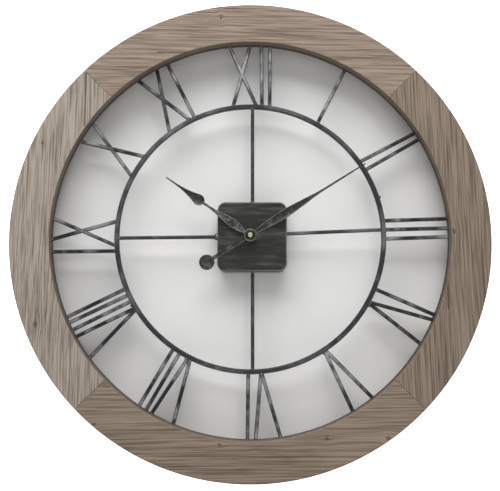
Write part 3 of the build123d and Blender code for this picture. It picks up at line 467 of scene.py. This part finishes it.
# %% Box material
box_material, tree, shader, at = new_material("box_iron", Metallic=0.15)
box_low, box_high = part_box("movement_box")
cloth = noise_node(tree, stretched(tree, at, (14.0, 14.0, 60.0)), 1.0, 4.0, 0.6)
smear = noise_node(tree, stretched(tree, at, (24.0, 24.0, 170.0)), 1.0, 3.0, 0.7)
grit = noise_node(tree, at, 1100.0, 2.0)
marks = plus(tree, ramp(tree, cloth, 0.46, 0.66, 0.0, 0.6), ramp(tree, smear, 0.5, 0.7, 0.0, 0.5))
marks = times(tree, marks, ramp(tree, grit, 0.25, 0.65, 0.5, 1.0), clamp=True)
masks = place(tree, facing, {})
side = axes(tree, at)
# painted highlight: a thin pale line on the rim's rounded edge, strongest at the lower right
lower_right_highlight = minus(tree, side["X"], side["Z"])
lower_right_highlight = ramp(tree, lower_right_highlight, 0.0, (box_high.x - box_low.x) * 0.8, 0.3, 1.0)
bare_metal_and_highlight = times(tree, masks["Edge"], lower_right_highlight)
bare_metal_and_highlight = times(tree, bare_metal_and_highlight, ramp(tree, cloth, 0.3, 0.6, 0.5, 1.0))
color = mix(tree, marks, rgb(40, 41, 36), rgb(98, 101, 94))
# the pale colour of the painted highlight
color = mix(tree, bare_metal_and_highlight, color, rgb(176, 176, 166))
feed(tree, shader, color, ramp(tree, marks, 0.0, 1.0, 0.48, 0.4),
     height=plus(tree, cloth, times(tree, grit, 0.15)), bump_mm=0.5, strength=0.4)
paint(box_material, "movement_box")
print("box", [round(c * 1000, 1) for c in box_high - box_low], "mm")

# %% [markdown]
# ## Small parts of the movement
# The movement is bought in: black moulded halves, white acetal wheels, brass on the bush, zinc
# plate on screws and springs, a copper winding and a green circuit board. None is a single flat
# colour: moulded plastic has a spark-eroded texture, plated steel a faint cloud, and brass is
# dulled here and there by fingers. One function makes the simple ones, each with its own values.

# %% Simple finishes
def cloudy_material(name, base, second, roughness, metallic=0.0, cloud_mm=6.0, grain_mm=0.5, bump_mm=0.05):
    """Two close tones in soft clouds, with a fine texture over them."""
    material, tree, shader, at = new_material(name, Metallic=metallic)
    clouds = noise_node(tree, at, 1000.0 / cloud_mm, 3.0)
    grain = noise_node(tree, at, 1000.0 / grain_mm, 2.0, 0.7)
    color = mix(tree, ramp(tree, clouds, 0.32, 0.68), base, second)
    low, high = roughness
    feed(tree, shader, color, ramp(tree, plus(tree, clouds, grain), 0.7, 1.3, low, high),
         height=grain, bump_mm=bump_mm, strength=0.7)
    return material


case_plastic = cloudy_material("case_plastic", rgb(48, 48, 50), rgb(58, 58, 60), (0.42, 0.55),
                               grain_mm=0.6, bump_mm=0.08)
gear_plastic = cloudy_material("gear_plastic", rgb(232, 230, 220), rgb(222, 219, 206), (0.3, 0.42))
zinc_steel = cloudy_material("zinc_steel", rgb(186, 188, 190), rgb(160, 163, 166), (0.24, 0.42),
                             metallic=1.0, cloud_mm=3.0)
motor_iron = cloudy_material("motor_iron", rgb(132, 134, 138), rgb(112, 113, 116), (0.34, 0.5),
                             metallic=1.0, cloud_mm=4.0)
arbor_steel = cloudy_material("arbor_steel", rgb(190, 191, 194), rgb(170, 171, 176), (0.18, 0.3),
                              metallic=1.0, cloud_mm=2.0)
gasket_rubber = cloudy_material("gasket_rubber", rgb(30, 30, 30), rgb(42, 41, 40), (0.7, 0.85))
pale_brass = cloudy_material("polished_brass", rgb(236, 230, 196), rgb(216, 206, 164), (0.3, 0.45),
                             metallic=0.5, cloud_mm=1.5)
brass = cloudy_material("turned_brass", rgb(226, 208, 140), rgb(206, 184, 112), (0.22, 0.38),
                        metallic=0.9, cloud_mm=2.0)
paint(case_plastic, "movement_front_case", "movement_back_case", "setting_knob", "timing_chip")
paint(gear_plastic, "rotor_arbor", "fifth_wheel", "second_wheel", "third_wheel", "centre_wheel", "hour_wheel",
      "motion_wheel", "coil_bobbin")
paint(zinc_steel, "frame_screws", "hanger_plate", "hanger_screws", "contact_plus", "contact_minus",
      "clutch_spring", "timing_crystal")
paint(motor_iron, "stator_plate", "coil_core", "rotor_magnet")
paint(arbor_steel, "minute_arbor")
paint(gasket_rubber, "case_gasket")
paint(brass, "threaded_bush", "bush_washer", "bush_nut")
paint(pale_brass, "hand_nut")
print("simple finishes on the movement")

# %% [markdown]
# The winding is a long copper wire laid in close turns, so fine lines run across its length. The
# circuit board is green lacquer over copper tracks, and shows them as slightly raised lines.

# %% Winding and circuit board
WIRE_PITCH_MM = 0.4488
copper, tree, shader, at = new_material("copper_wire", Metallic=0.85)
turns = add(tree, "ShaderNodeTexWave",
            {"Vector": at, "Scale": wave_scale(WIRE_PITCH_MM), "Distortion": 0.6, "Detail": 1.0},
            wave_type="BANDS", bands_direction="Z", wave_profile="SIN").outputs["Fac"]
warm = noise_node(tree, at, 220.0)
color = mix(tree, ramp(tree, warm, 0.35, 0.65), rgb(186, 98, 52), rgb(206, 124, 70))
feed(tree, shader, color, ramp(tree, turns, 0.0, 1.0, 0.45, 0.28), height=turns, bump_mm=0.1)
paint(copper, "coil_winding")

board_green, tree, shader, at = new_material("circuit_board")
from_track = add(tree, "ShaderNodeTexVoronoi", {"Vector": at, "Scale": 420.0},
                 feature="DISTANCE_TO_EDGE", distance="MANHATTAN").outputs["Distance"]
tracks = ramp(tree, from_track, 0.06, 0.1, 1.0, 0.0)
color = mix(tree, tracks, rgb(26, 84, 46), rgb(58, 118, 66))
feed(tree, shader, color, ramp(tree, tracks, 0.0, 1.0, 0.4, 0.3), height=tracks, bump_mm=0.03)
paint(board_green, "circuit_board")
print("copper and circuit board")

# %% [markdown]
# ## Plywood, biscuits and the cell
# The backing ring is birch plywood. Its faces are a pale veneer with faint flame, and its sawn
# rims show the plies as thin lines that turn light and dark with depth. The biscuits are pressed
# beech. The cell has a plain wrapped jacket with bright metal at both ends, told by where it is
# along its own length.

# %% Plywood and cell
PLY_PAIR_MM = 4.4  # a pale ply and a dark one
CAP_LENGTH, FOOT_LENGTH, BAND_LENGTH = 3.05 * MM, 0.95 * MM, 15.0 * MM  # from the cell's own ends
CAP_EDGE, BAND_EDGE = 0.15 * MM, 0.2 * MM
plywood, tree, shader, at = new_material("birch_plywood")
flame = noise_node(tree, stretched(tree, at, (4.0, 60.0, 26.0)), 1.0, 4.0, 0.6)
pores = noise_node(tree, stretched(tree, at, (60.0, 700.0, 900.0)), 1.0, 2.0, 0.7)
veneer = mix(tree, ramp(tree, flame, 0.3, 0.7), rgb(168, 150, 128), rgb(150, 131, 108))
veneer = mix(tree, ramp(tree, pores, 0.55, 0.75, 0.0, 0.35), veneer, rgb(126, 104, 82))
plies = add(tree, "ShaderNodeTexWave",
            {"Vector": at, "Scale": wave_scale(PLY_PAIR_MM), "Distortion": 0.25, "Detail": 2.0,
             "Detail Scale": 3.0},
            wave_type="BANDS", bands_direction="Y", wave_profile="SIN").outputs["Fac"]
masks = place(tree, facing, {})
ply_rim = mix(tree, ramp(tree, plies, 0.35, 0.65), rgb(140, 118, 94), rgb(96, 76, 60))
color = mix(tree, masks["Side"], veneer, ply_rim)
feed(tree, shader, color, ramp(tree, flame, 0.3, 0.7, 0.6, 0.75), height=pores, bump_mm=0.15, strength=0.5)
paint(plywood, "backing_ring")

beech = cloudy_material("beech_biscuits", rgb(190, 150, 110), rgb(168, 128, 90), (0.7, 0.8), cloud_mm=3.0)
paint(beech, "mitre_biscuits")

cell, tree, shader, at = new_material("battery_jacket")
cell_low, cell_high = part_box("battery")
length_wise = axes(tree, at)["X"]


def along_cell(where, edge=CAP_EDGE):
    """0 before a place on the cell and 1 after it."""
    return ramp(tree, length_wise, where - edge, where + edge)


cap = along_cell(cell_high.x - CAP_LENGTH)
foot = minus(tree, 1.0, along_cell(cell_low.x + FOOT_LENGTH))
metal = plus(tree, cap, foot, clamp=True)
band = along_cell(cell_high.x - BAND_LENGTH, BAND_EDGE)
scuff = noise_node(tree, stretched(tree, at, (90.0, 300.0, 300.0)), 1.0, 3.0)
jacket = mix(tree, band, rgb(46, 60, 74), rgb(176, 180, 184))
jacket = mix(tree, ramp(tree, scuff, 0.55, 0.8, 0.0, 0.3), jacket, rgb(120, 126, 132))
color = mix(tree, metal, jacket, rgb(198, 198, 200))
feed(tree, shader, color, ramp(tree, scuff, 0.3, 0.7, 0.28, 0.4), ramp(tree, metal, 0.0, 1.0, 0.3, 1.0))
paint(cell, "battery")
print("plywood, biscuits and cell")

# %% [markdown]
# ## Cast hands
# The hands are cast and painted black, with a raised rim along both edges of every leaf. Fingers
# and cloths have worn the rims to bare metal, so they show as pale lines. CAD has the hands as
# flat plates of the right outline, so each is replaced here by relief pieces on the same body. A
# leaf starts as a grid. Its rows are spread along the leaf, each is drawn in to the width there,
# and its columns take the height of a section: rim, groove, and a low crown in the middle.
# The front is then extruded back to give the thickness, which closes the piece.
# Lengths in the lists of stations and sections are in millimetres.

# %% The section of a leaf
# (share of the half width, share of the relief) across the leaf
SECTION = [(-1.0, 0.55), (-0.9, 1.0), (-0.72, 0.9), (-0.58, 0.2), (-0.3, 0.32), (0.0, 0.45),
           (0.3, 0.32), (0.58, 0.2), (0.72, 0.9), (0.9, 1.0), (1.0, 0.55)]
RIM_FROM = 0.58  # the groove's place in the section, from which the rim rises
FULL_RIM = 3.2  # where half the leaf is more than this many rims wide, the rims keep their width
RELIEF = 0.55 * MM
ROWS = 48
MERGE = 1e-6


def eased(stations, where):
    """The half width at a place along a leaf, on a smooth curve through its stations, in mm."""
    for number in range(len(stations) - 1):
        (a, low), (b, high) = stations[number], stations[number + 1]
        if where <= b or number == len(stations) - 2:
            before = stations[max(number - 1, 0)]
            after = stations[min(number + 2, len(stations) - 1)]
            slope_in = (high - before[1]) / (b - before[0])
            slope_out = (after[1] - low) / (after[0] - a)
            share = (where - a) / (b - a)
            span = b - a
            return ((1 + 2 * share) * (1 - share) ** 2 * low + share * (1 - share) ** 2 * span * slope_in
                    + share ** 2 * (3 - 2 * share) * high + share ** 2 * (share - 1) * span * slope_out)


def closed(work):
    """Merges what lies together and turns every face outwards."""
    bmesh.ops.remove_doubles(work, verts=work.verts, dist=MERGE)
    bmesh.ops.recalc_face_normals(work, faces=work.faces)


def turned_like(angle):
    """From a hand that points up at twelve to its place on the dial, clockwise as it is read."""
    return Matrix.Rotation(math.radians(angle), 4, "Y")


def finish_piece(work, name, body, material, smooth=True):
    """Makes the object, rides it and says which finish it has. Its place is in its mesh."""
    mesh = bpy.data.meshes.new(name)
    work.to_mesh(mesh)
    work.free()
    piece = bpy.data.objects.new(name, mesh)
    bpy.context.scene.collection.objects.link(piece)
    for face in mesh.polygons:
        face.use_smooth = smooth
    mesh.materials.append(material)
    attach(piece, body)
    return piece


def leaf(stations, front, back, angle, rim_mm=0.9, wear=1.0):
    """A bmesh of one leaf. Its rims keep their width until the leaf is too narrow for them."""
    work = bmesh.new()
    bmesh.ops.create_grid(work, x_segments=len(SECTION) - 1, y_segments=ROWS, size=1.0)
    worn = work.verts.layers.float.new("worn")
    first, last = stations[0][0], stations[-1][0]
    for vert in work.verts:
        column = round((vert.co.x + 1) / 2 * (len(SECTION) - 1))
        across, height = SECTION[column]
        where = first + (last - first) * (vert.co.y + 1) / 2
        half = max(eased(stations, where), stations[-1][1])
        rim_share = min(1.0, FULL_RIM * rim_mm / half)
        if abs(across) >= RIM_FROM:
            across = math.copysign(1 - (1 - abs(across)) * rim_share, across)
        else:
            across *= (1 - (1 - RIM_FROM) * rim_share) / RIM_FROM
        vert.co = Vector((across * half * MM, front - height * RELIEF, where * MM))
        vert[worn] = wear if height > 0.95 else 0.0
    edge = bmesh.ops.extrude_face_region(work, geom=work.faces[:])
    for item in edge["geom"]:
        if isinstance(item, bmesh.types.BMVert):
            item.co.y = back
            item[worn] = 0.0
    closed(work)
    bmesh.ops.transform(work, matrix=turned_like(angle), verts=work.verts)
    return work


print("a leaf has", (len(SECTION) - 1) * ROWS, "front faces")

# %% [markdown]
# ## The hands' finish
# The hands take the same black and silver as the dial, but here the wear follows the casting: each
# leaf carries a value named "worn" that is up to 1 on its rims, and the material lays bare metal
# there. Between the rims the black is rubbed in patches, where a brush caught the low crown.

# %% Hand material
def hand_material(name, patch_low, patch_high, silver):
    material, tree, shader, at = new_material(name)
    worn = add(tree, "ShaderNodeAttribute", attribute_name="worn").outputs["Fac"]
    patch = noise_node(tree, at, 120.0, 3.0, 0.6)
    hammer = noise_node(tree, at, 700.0, 3.0, 0.65)
    fine = noise_node(tree, at, 1600.0, 2.0, 0.6)
    rim = times(tree, ramp(tree, worn, 0.35, 0.85), ramp(tree, patch, 0.25, 0.5, 0.55, 1.0))
    brushed = times(tree, ramp(tree, patch, patch_low, patch_high), ramp(tree, hammer, 0.4, 0.62))
    bare_metal_and_highlight = math_node(tree, "MAXIMUM", rim, times(tree, brushed, 0.8))
    speckle = ramp(tree, fine, 0.58, 0.74, 0.0, 0.35)
    bare_metal_and_highlight = math_node(tree, "MAXIMUM", bare_metal_and_highlight, speckle)
    color = mix(tree, bare_metal_and_highlight, rgb(38, 38, 38), silver)
    feed(tree, shader, color, ramp(tree, bare_metal_and_highlight, 0.0, 1.0, 0.4, 0.3), ramp(tree, bare_metal_and_highlight, 0.0, 1.0, 0.2, 0.8),
         height=plus(tree, hammer, times(tree, fine, 0.4)), bump_mm=0.18)
    return material


hand_black = hand_material("hand_black", 0.46, 0.66, rgb(140, 141, 138))
hand_pewter = hand_material("hand_pewter", 0.36, 0.6, rgb(160, 160, 156))
print("hand materials ready")

# %% [markdown]
# ## The hour hand
# A leaf runs out from the centre, thins to a stem, and meets a spade whose round foot narrows to a
# needle. Leaf and spade are two leaves of the same kind, so both have the rims. A round collar
# sits on the hour tube under the minute hand.

# %% Hour hand
HOUR_ANGLE, MINUTE_ANGLE = 304.825, 57.9
TUBE_R_MM, COLLAR_R_MM, BEVEL_MM, BEVEL_DEPTH = 2.56, 7.6, 0.6, 0.2 * MM
# stations along a leaf: (distance from the centre, half width)
HOUR_LEAF = [(6.5, 1.6), (17, 4.5), (28, 5.5), (44, 3.4), (58, 1.7), (74, 1.5)]
HOUR_SPADE = [(71, 0.6), (72.2, 3.4), (75, 5.9), (79.5, 7.0), (90, 4.2), (105, 1.7), (117, 1.05), (129, 0.75)]
hour_low, hour_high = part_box("hour_hand")
hour_front, hour_back = hour_low.y, hour_high.y
hour_face = hour_front + RELIEF
work = leaf(HOUR_LEAF, hour_face, hour_back, HOUR_ANGLE)
hour_leaf = finish_piece(work, "hour_leaf", "hour_train", hand_pewter)
work = leaf(HOUR_SPADE, hour_face, hour_back, HOUR_ANGLE)
finish_piece(work, "hour_spade", "hour_train", hand_black)


def ring_piece(profile, steps=96):
    """Spins a section of (radius, y) points round the hands' line, to a closed ring."""
    work = bmesh.new()
    verts = [work.verts.new((radius * MM, y, 0.0)) for radius, y in profile]
    edges = [work.edges.new((verts[i], verts[(i + 1) % len(verts)])) for i in range(len(verts))]
    bmesh.ops.spin(work, geom=verts + edges, cent=(0, 0, 0), axis=(0, 1, 0), dvec=(0, 0, 0),
                   angle=math.tau, steps=steps, use_merge=True, use_duplicate=False)
    closed(work)
    return work


work = ring_piece([(TUBE_R_MM, hour_face), (COLLAR_R_MM - BEVEL_MM, hour_face),
                   (COLLAR_R_MM, hour_face + BEVEL_DEPTH), (COLLAR_R_MM, hour_back), (TUBE_R_MM, hour_back)])
finish_piece(work, "hour_collar", "hour_train", hand_black, smooth=False)
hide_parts("hour_hand")
print("hour hand from", round(hour_front * 1000, 2), "to", round(hour_back * 1000, 2), "mm")

# %% [markdown]
# ## The minute hand
# One long leaf ends in a needle over the numerals. On the other side a narrow tail, rimmed like
# the leaf, carries a round disc as its counterweight. The boss is a cup with a bright raised rim,
# and the brass nut sits inside it.

# %% Minute hand
MINUTE_LEAF = [(6.0, 1.9), (28, 4.4), (51, 5.5), (78, 3.6), (104, 1.5), (130, 1.2), (171, 0.8)]
MINUTE_TAIL = [(6.0, 2.9), (30, 2.6), (58, 2.25)]
HAND_T = 1.0 * MM
ARBOR_R_MM = 1.32
TAIL_RIM_MM, TAIL_WEAR, BOSS_WEAR = 0.6, 0.6, 0.6
minute_low, minute_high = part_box("minute_hand")
boss_top, minute_back = minute_low.y, minute_high.y
minute_plate = minute_back - HAND_T
minute_face = minute_plate + RELIEF
work = leaf(MINUTE_LEAF, minute_face, minute_back, MINUTE_ANGLE)
minute_leaf = finish_piece(work, "minute_leaf", "minute_train", hand_black)
work = leaf(MINUTE_TAIL, minute_face, minute_back, MINUTE_ANGLE + 180, TAIL_RIM_MM, TAIL_WEAR)
finish_piece(work, "minute_tail", "minute_train", hand_black)
cup_rim = boss_top + 0.3 * MM
boss = ring_piece([
    (ARBOR_R_MM, minute_plate), (6.1, minute_plate), (6.3, boss_top + 0.25 * MM), (6.8, boss_top),
    (7.6, boss_top), (8.1, cup_rim), (8.2, minute_plate), (8.2, minute_back), (ARBOR_R_MM, minute_back)])
worn = boss.verts.layers.float.new("worn")
for vert in boss.verts:
    vert[worn] = BOSS_WEAR if vert.co.y < cup_rim + 0.01 * MM else 0.0
finish_piece(boss, "minute_boss", "minute_train", hand_black)
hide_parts("minute_hand")
print("minute hand from", round(boss_top * 1000, 2), "to", round(minute_back * 1000, 2), "mm")

# %% [markdown]
# The tail's disc is hammered: a low dome with small dents all over. It starts as a cylinder whose
# face is inset into rings of faces, each ring is raised to the dome's height, and noise then
# dents the front by about a tenth of a millimetre.

# %% Hammered disc
DISC_R, TAIL_REACH = 9.5 * MM, 63.6 * MM
DISC_RINGS, RING_STEP = 12, 0.75 * MM
DOME, DENT, ROLLED_EDGE = 0.5 * MM, 0.12 * MM, 0.25 * MM
DENTS_PER_METRE = 700
EDGE_EASE = 8  # the dome and the dents fade out over the last eighth of the radius
work = bmesh.new()
bmesh.ops.create_cone(work, cap_ends=True, segments=64, radius1=DISC_R, radius2=DISC_R, depth=HAND_T)
bmesh.ops.rotate(work, verts=work.verts, cent=(0, 0, 0), matrix=Matrix.Rotation(math.radians(90), 3, "X"))
middle = minute_back - HAND_T / 2
bmesh.ops.translate(work, verts=work.verts, vec=(0, middle, 0))
cap_faces = [face for face in work.faces if face.normal.y < -0.9]
for _ in range(DISC_RINGS):
    bmesh.ops.inset_region(work, faces=cap_faces, thickness=RING_STEP, use_even_offset=True)
for vert in work.verts:
    if vert.co.y < middle:
        across = Vector((vert.co.x, vert.co.z)).length / DISC_R
        dent = noise.noise(Vector((vert.co.x, 0, vert.co.z)) * DENTS_PER_METRE) * DENT
        raised = (DOME * (1 - across ** 2) + dent) * min(1.0, (1 - across) * EDGE_EASE)
        vert.co.y = minute_plate - raised + ROLLED_EDGE * across ** 6
bmesh.ops.translate(work, verts=work.verts, vec=(0, 0, -TAIL_REACH))
bmesh.ops.transform(work, matrix=turned_like(MINUTE_ANGLE), verts=work.verts)
closed(work)
disc = finish_piece(work, "minute_disc", "minute_train", hand_black)
print("disc has", len(disc.data.vertices), "points")

# %% [markdown]
# ## Weld beads
# Each bar was tacked to both rings with a small bead, and the spokes to the inner ring and the
# box. The ends are found on the CAD bars themselves: the points of a bar that lie nearest to a
# ring, gathered into one place for each end. A bead is an icosphere that is flattened against the
# joint and made lumpy by noise, with silver rub and a painted highlight over it as on the bars.

# %% Find the ends of the bars
SAME_END = 6 * MM  # points of a bar within this of each other belong to one end
RING_REACH = 78.0 * MM  # from the inner ring's outside to the numerals' outer ends
# a bead's size, and how far it is moved out from the joint, or into it below 0, in mm
INNER_BEAD, OUTER_BEAD, SPOKE_BEAD, JOINT_BEAD = (2.0, -0.5), (1.8, -0.5), (2.0, 0.0), (1.8, -0.6)
inner_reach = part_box("iron_inner_ring")[1].x
outer_reach = inner_reach + RING_REACH
dial_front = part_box("iron_inner_ring")[0].y


def ends_near(name, reach, inside, outside):
    """Middles of a bar's ends that lie near a distance from the hands' line."""
    groups = []
    for vert in NODES[name].data.vertices:
        flat = Vector((vert.co.x, vert.co.z))
        if reach - inside * MM <= flat.length <= reach + outside * MM:
            for group in groups:
                if (group[0] - flat).length < SAME_END:
                    group.append(flat)
                    break
            else:
                groups.append([flat])
    return [sum(group, Vector((0, 0))) / len(group) for group in groups]


beads = []
for hour in HOURS:
    beads += [(end, *INNER_BEAD) for end in ends_near(hour, inner_reach, 1.0, 1.2)]
    beads += [(end, *OUTER_BEAD) for end in ends_near(hour, outer_reach, 1.2, 1.0)]
print("bar ends found:", len(beads))

# %% [markdown]
# Each spoke gets a bead at the inner ring and one at the box. The one on the left of the box is
# the largest. The inner ring itself is a bar that was rolled and closed with one butt weld, at
# the right and a little up, which was never ground quite flush.

# %% Make the beads
SPOKES = {"right": (1, 0), "left": (-1, 0), "top": (0, 1), "bottom": (0, -1)}
# size, and how far it is moved out, in mm: the weld on the left was built up twice
BOX_BEADS = {"right": (1.6, 0.8), "left": (4.0, 3.0), "top": (1.9, 1.2), "bottom": (2.5, 2.6)}
BOX_EDGES = {"right": box_high.x, "left": -box_low.x, "top": box_high.z, "bottom": -box_low.z}
RING_WIDTH, BOX_GAP, JOINT_OUT = 6.0 * MM, 0.3 * MM, 0.2 * MM
JOINT_ANGLE = math.radians(17.1)
END_DEPTH = 2 * MM
BEAD_SHAPE, BEAD_SUNK = (1.0, 0.75, 1.15), 0.55  # shares of a bead's size
LUMPS, LUMPS_PER_METRE = 0.28, 900


def middle_near(points, end):
    """The middle of a spoke's end, across the spoke."""
    near = [place_across for reach, place_across in points if abs(reach - end) < END_DEPTH]
    return sum(near) / len(near)


for side_name, (right, up) in SPOKES.items():
    verts = [v.co for v in NODES["spoke_" + side_name].data.vertices]
    points = [(v.x * right + v.z * up, v.z if right else v.x) for v in verts]
    first, last = min(points)[0], max(points)[0]
    for near_end, bead in ((inner_reach - RING_WIDTH, SPOKE_BEAD),
                           (BOX_EDGES[side_name] + BOX_GAP, BOX_BEADS[side_name])):
        share = (near_end - first) / (last - first)
        offset = middle_near(points, first) * (1 - share) + middle_near(points, last) * share
        flat = Vector((near_end * right, offset)) if right else Vector((offset, near_end * up))
        beads.append((flat, *bead))
joint = Vector((math.cos(JOINT_ANGLE), math.sin(JOINT_ANGLE))) * (inner_reach + JOINT_OUT)
beads.append((joint, *JOINT_BEAD))


def bead_mesh(work, flat, size_mm, out_mm, seed):
    """One lumpy bead in work. Its front stands a fifth of its size out from the bars, plus out_mm."""
    ball = bmesh.ops.create_icosphere(work, subdivisions=2, radius=size_mm * MM)["verts"]
    bmesh.ops.scale(work, vec=BEAD_SHAPE, verts=ball)
    bmesh.ops.rotate(work, verts=ball, cent=(0, 0, 0), matrix=Matrix.Rotation(seed * 1.7, 3, "Y"))
    for vert in ball:
        vert.co *= 1 + LUMPS * noise.noise(vert.co * LUMPS_PER_METRE + Vector((seed * 7.3, seed * 3.1, 0)))
    depth = dial_front + (BEAD_SUNK * size_mm - out_mm) * MM
    bmesh.ops.translate(work, verts=ball, vec=(flat.x, depth, flat.y))


work = bmesh.new()
for seed, (flat, size_mm, out_mm) in enumerate(beads):
    bead_mesh(work, flat, size_mm, out_mm, seed)
closed(work)
# the beads' silver is partly rub and partly painted highlight
bead_iron = iron_material("bead_iron", rgb(66, 68, 68), rgb(172, 175, 173), 0.62, 5.0, bump_mm=0.2)
weld_beads = finish_piece(work, "weld_beads", "frame", bead_iron)
print("beads:", len(beads), "with", len(weld_beads.data.polygons), "faces")

# %% [markdown]
# ## Wall and floor
# The clock hangs on a smooth pale wall, which also shows through the dial, so its soft shadow is
# half of how the open dial looks. Outside the boards the wall glows a plain white. It shows only
# from its front, so that the clock's back can be looked at, and it casts no shadow on that side.

# %% Wall and floor
WALL_GAP, WALL_HALF, FLOOR_HALF, FLOOR_DROP = 0.6 * MM, 3.0, 4.0, 0.9
GLOW_FROM, GLOW_FULL = 0.272, 0.276  # metres from the hands' line, behind the boards
WALL_PALE, FLOOR_PALE = rgb(252, 252, 252), rgb(206, 205, 202)


def stage_plane(name, half_size, place_at, turn):
    work = bmesh.new()
    bmesh.ops.create_grid(work, x_segments=1, y_segments=1, size=half_size)
    upright = Matrix.Rotation(math.radians(turn), 3, "X")
    bmesh.ops.rotate(work, verts=work.verts, cent=(0, 0, 0), matrix=upright)
    bmesh.ops.translate(work, verts=work.verts, vec=place_at)
    mesh = bpy.data.meshes.new(name)
    work.to_mesh(mesh)
    work.free()
    plane = bpy.data.objects.new(name, mesh)
    bpy.context.scene.collection.objects.link(plane)
    return plane


wall = stage_plane("wall", WALL_HALF, (0, WALL_GAP, 0), 90)
wall.visible_shadow = False
wall_paint, tree, shader, at = new_material(
    "wall_paint", Roughness=0.9, Base_Color=WALL_PALE, Emission_Color=(1, 1, 1, 1))
glow = ramp(tree, from_hands_line(tree, at), GLOW_FROM, GLOW_FULL)
tree.links.new(glow, shader.inputs["Emission Strength"])
see_through = tree.nodes.new("ShaderNodeBsdfTransparent")
from_behind = tree.nodes.new("ShaderNodeNewGeometry").outputs["Backfacing"]
choice = add(tree, "ShaderNodeMixShader", {0: from_behind, 1: shader.outputs[0], 2: see_through.outputs[0]})
tree.links.new(choice.outputs[0], tree.nodes["Material Output"].inputs["Surface"])
wall.data.materials.append(wall_paint)

floor = stage_plane("floor", FLOOR_HALF, (0, 0, -FLOOR_DROP), 0)
floor.data.materials.append(new_material("floor_paint", Roughness=0.8, Base_Color=FLOOR_PALE)[0])
print("wall faces", tuple(round(c, 2) for c in wall.data.polygons[0].normal))

# %% [markdown]
# ## Light
# One broad lamp hangs high above and in front, a little to the left. It throws the shadow of the
# bars downwards, darkens the wall just under the top board, and lights the top of the ring more
# than the foot. A weak one in front fills the dark sides, two more light the clock's back, and a
# dim white sky does the rest.

# %% Lamps and sky
# name: (place, what it aims at, width and height in metres, watts, tint)
LAMPS = {
    "key": ((-0.25, -0.98, 1.6), (0, 0, 0.05), (2.0, 1.3), 38.5, (1.0, 0.99, 0.975)),
    "fill": ((0.2, -2.4, 0.1), (0, 0, 0), (1.6, 1.6), 5.5, (0.97, 0.985, 1.0)),
    "back_left": ((-1.3, 1.5, 0.9), (0, 0, 0), (1.2, 1.2), 8.0, (1.0, 1.0, 1.0)),
    "back_right": ((1.4, 1.4, 0.4), (0, 0, 0), (1.2, 1.2), 6.0, (1.0, 1.0, 1.0)),
}
SKY_LIGHT, SKY_SEEN = 0.15, 0.85

for name, (place_at, aim, (width, height), power, tint) in LAMPS.items():
    lamp = bpy.data.lights.new(name, "AREA")
    lamp.shape = "RECTANGLE"
    lamp.size, lamp.size_y, lamp.energy, lamp.color = width, height, power, tint
    holder = bpy.data.objects.new(name, lamp)
    bpy.context.scene.collection.objects.link(holder)
    holder.location = place_at
    holder.rotation_mode = "QUATERNION"
    holder.rotation_quaternion = (Vector(aim) - Vector(place_at)).to_track_quat("-Z", "Y")

world = bpy.data.worlds.new("sky")
world.use_nodes = True
sky = world.node_tree
sky.nodes["Background"].inputs["Color"].default_value = (1.0, 1.0, 1.0, 1.0)
seen = sky.nodes.new("ShaderNodeLightPath").outputs["Is Camera Ray"]
sky.links.new(ramp(sky, seen, 0.0, 1.0, SKY_LIGHT, SKY_SEEN), sky.nodes["Background"].inputs["Strength"])
bpy.context.scene.world = world
bpy.context.scene.view_settings.view_transform = "Standard"
bpy.context.scene.view_settings.look = "None"
print("lamps:", ", ".join(LAMPS))
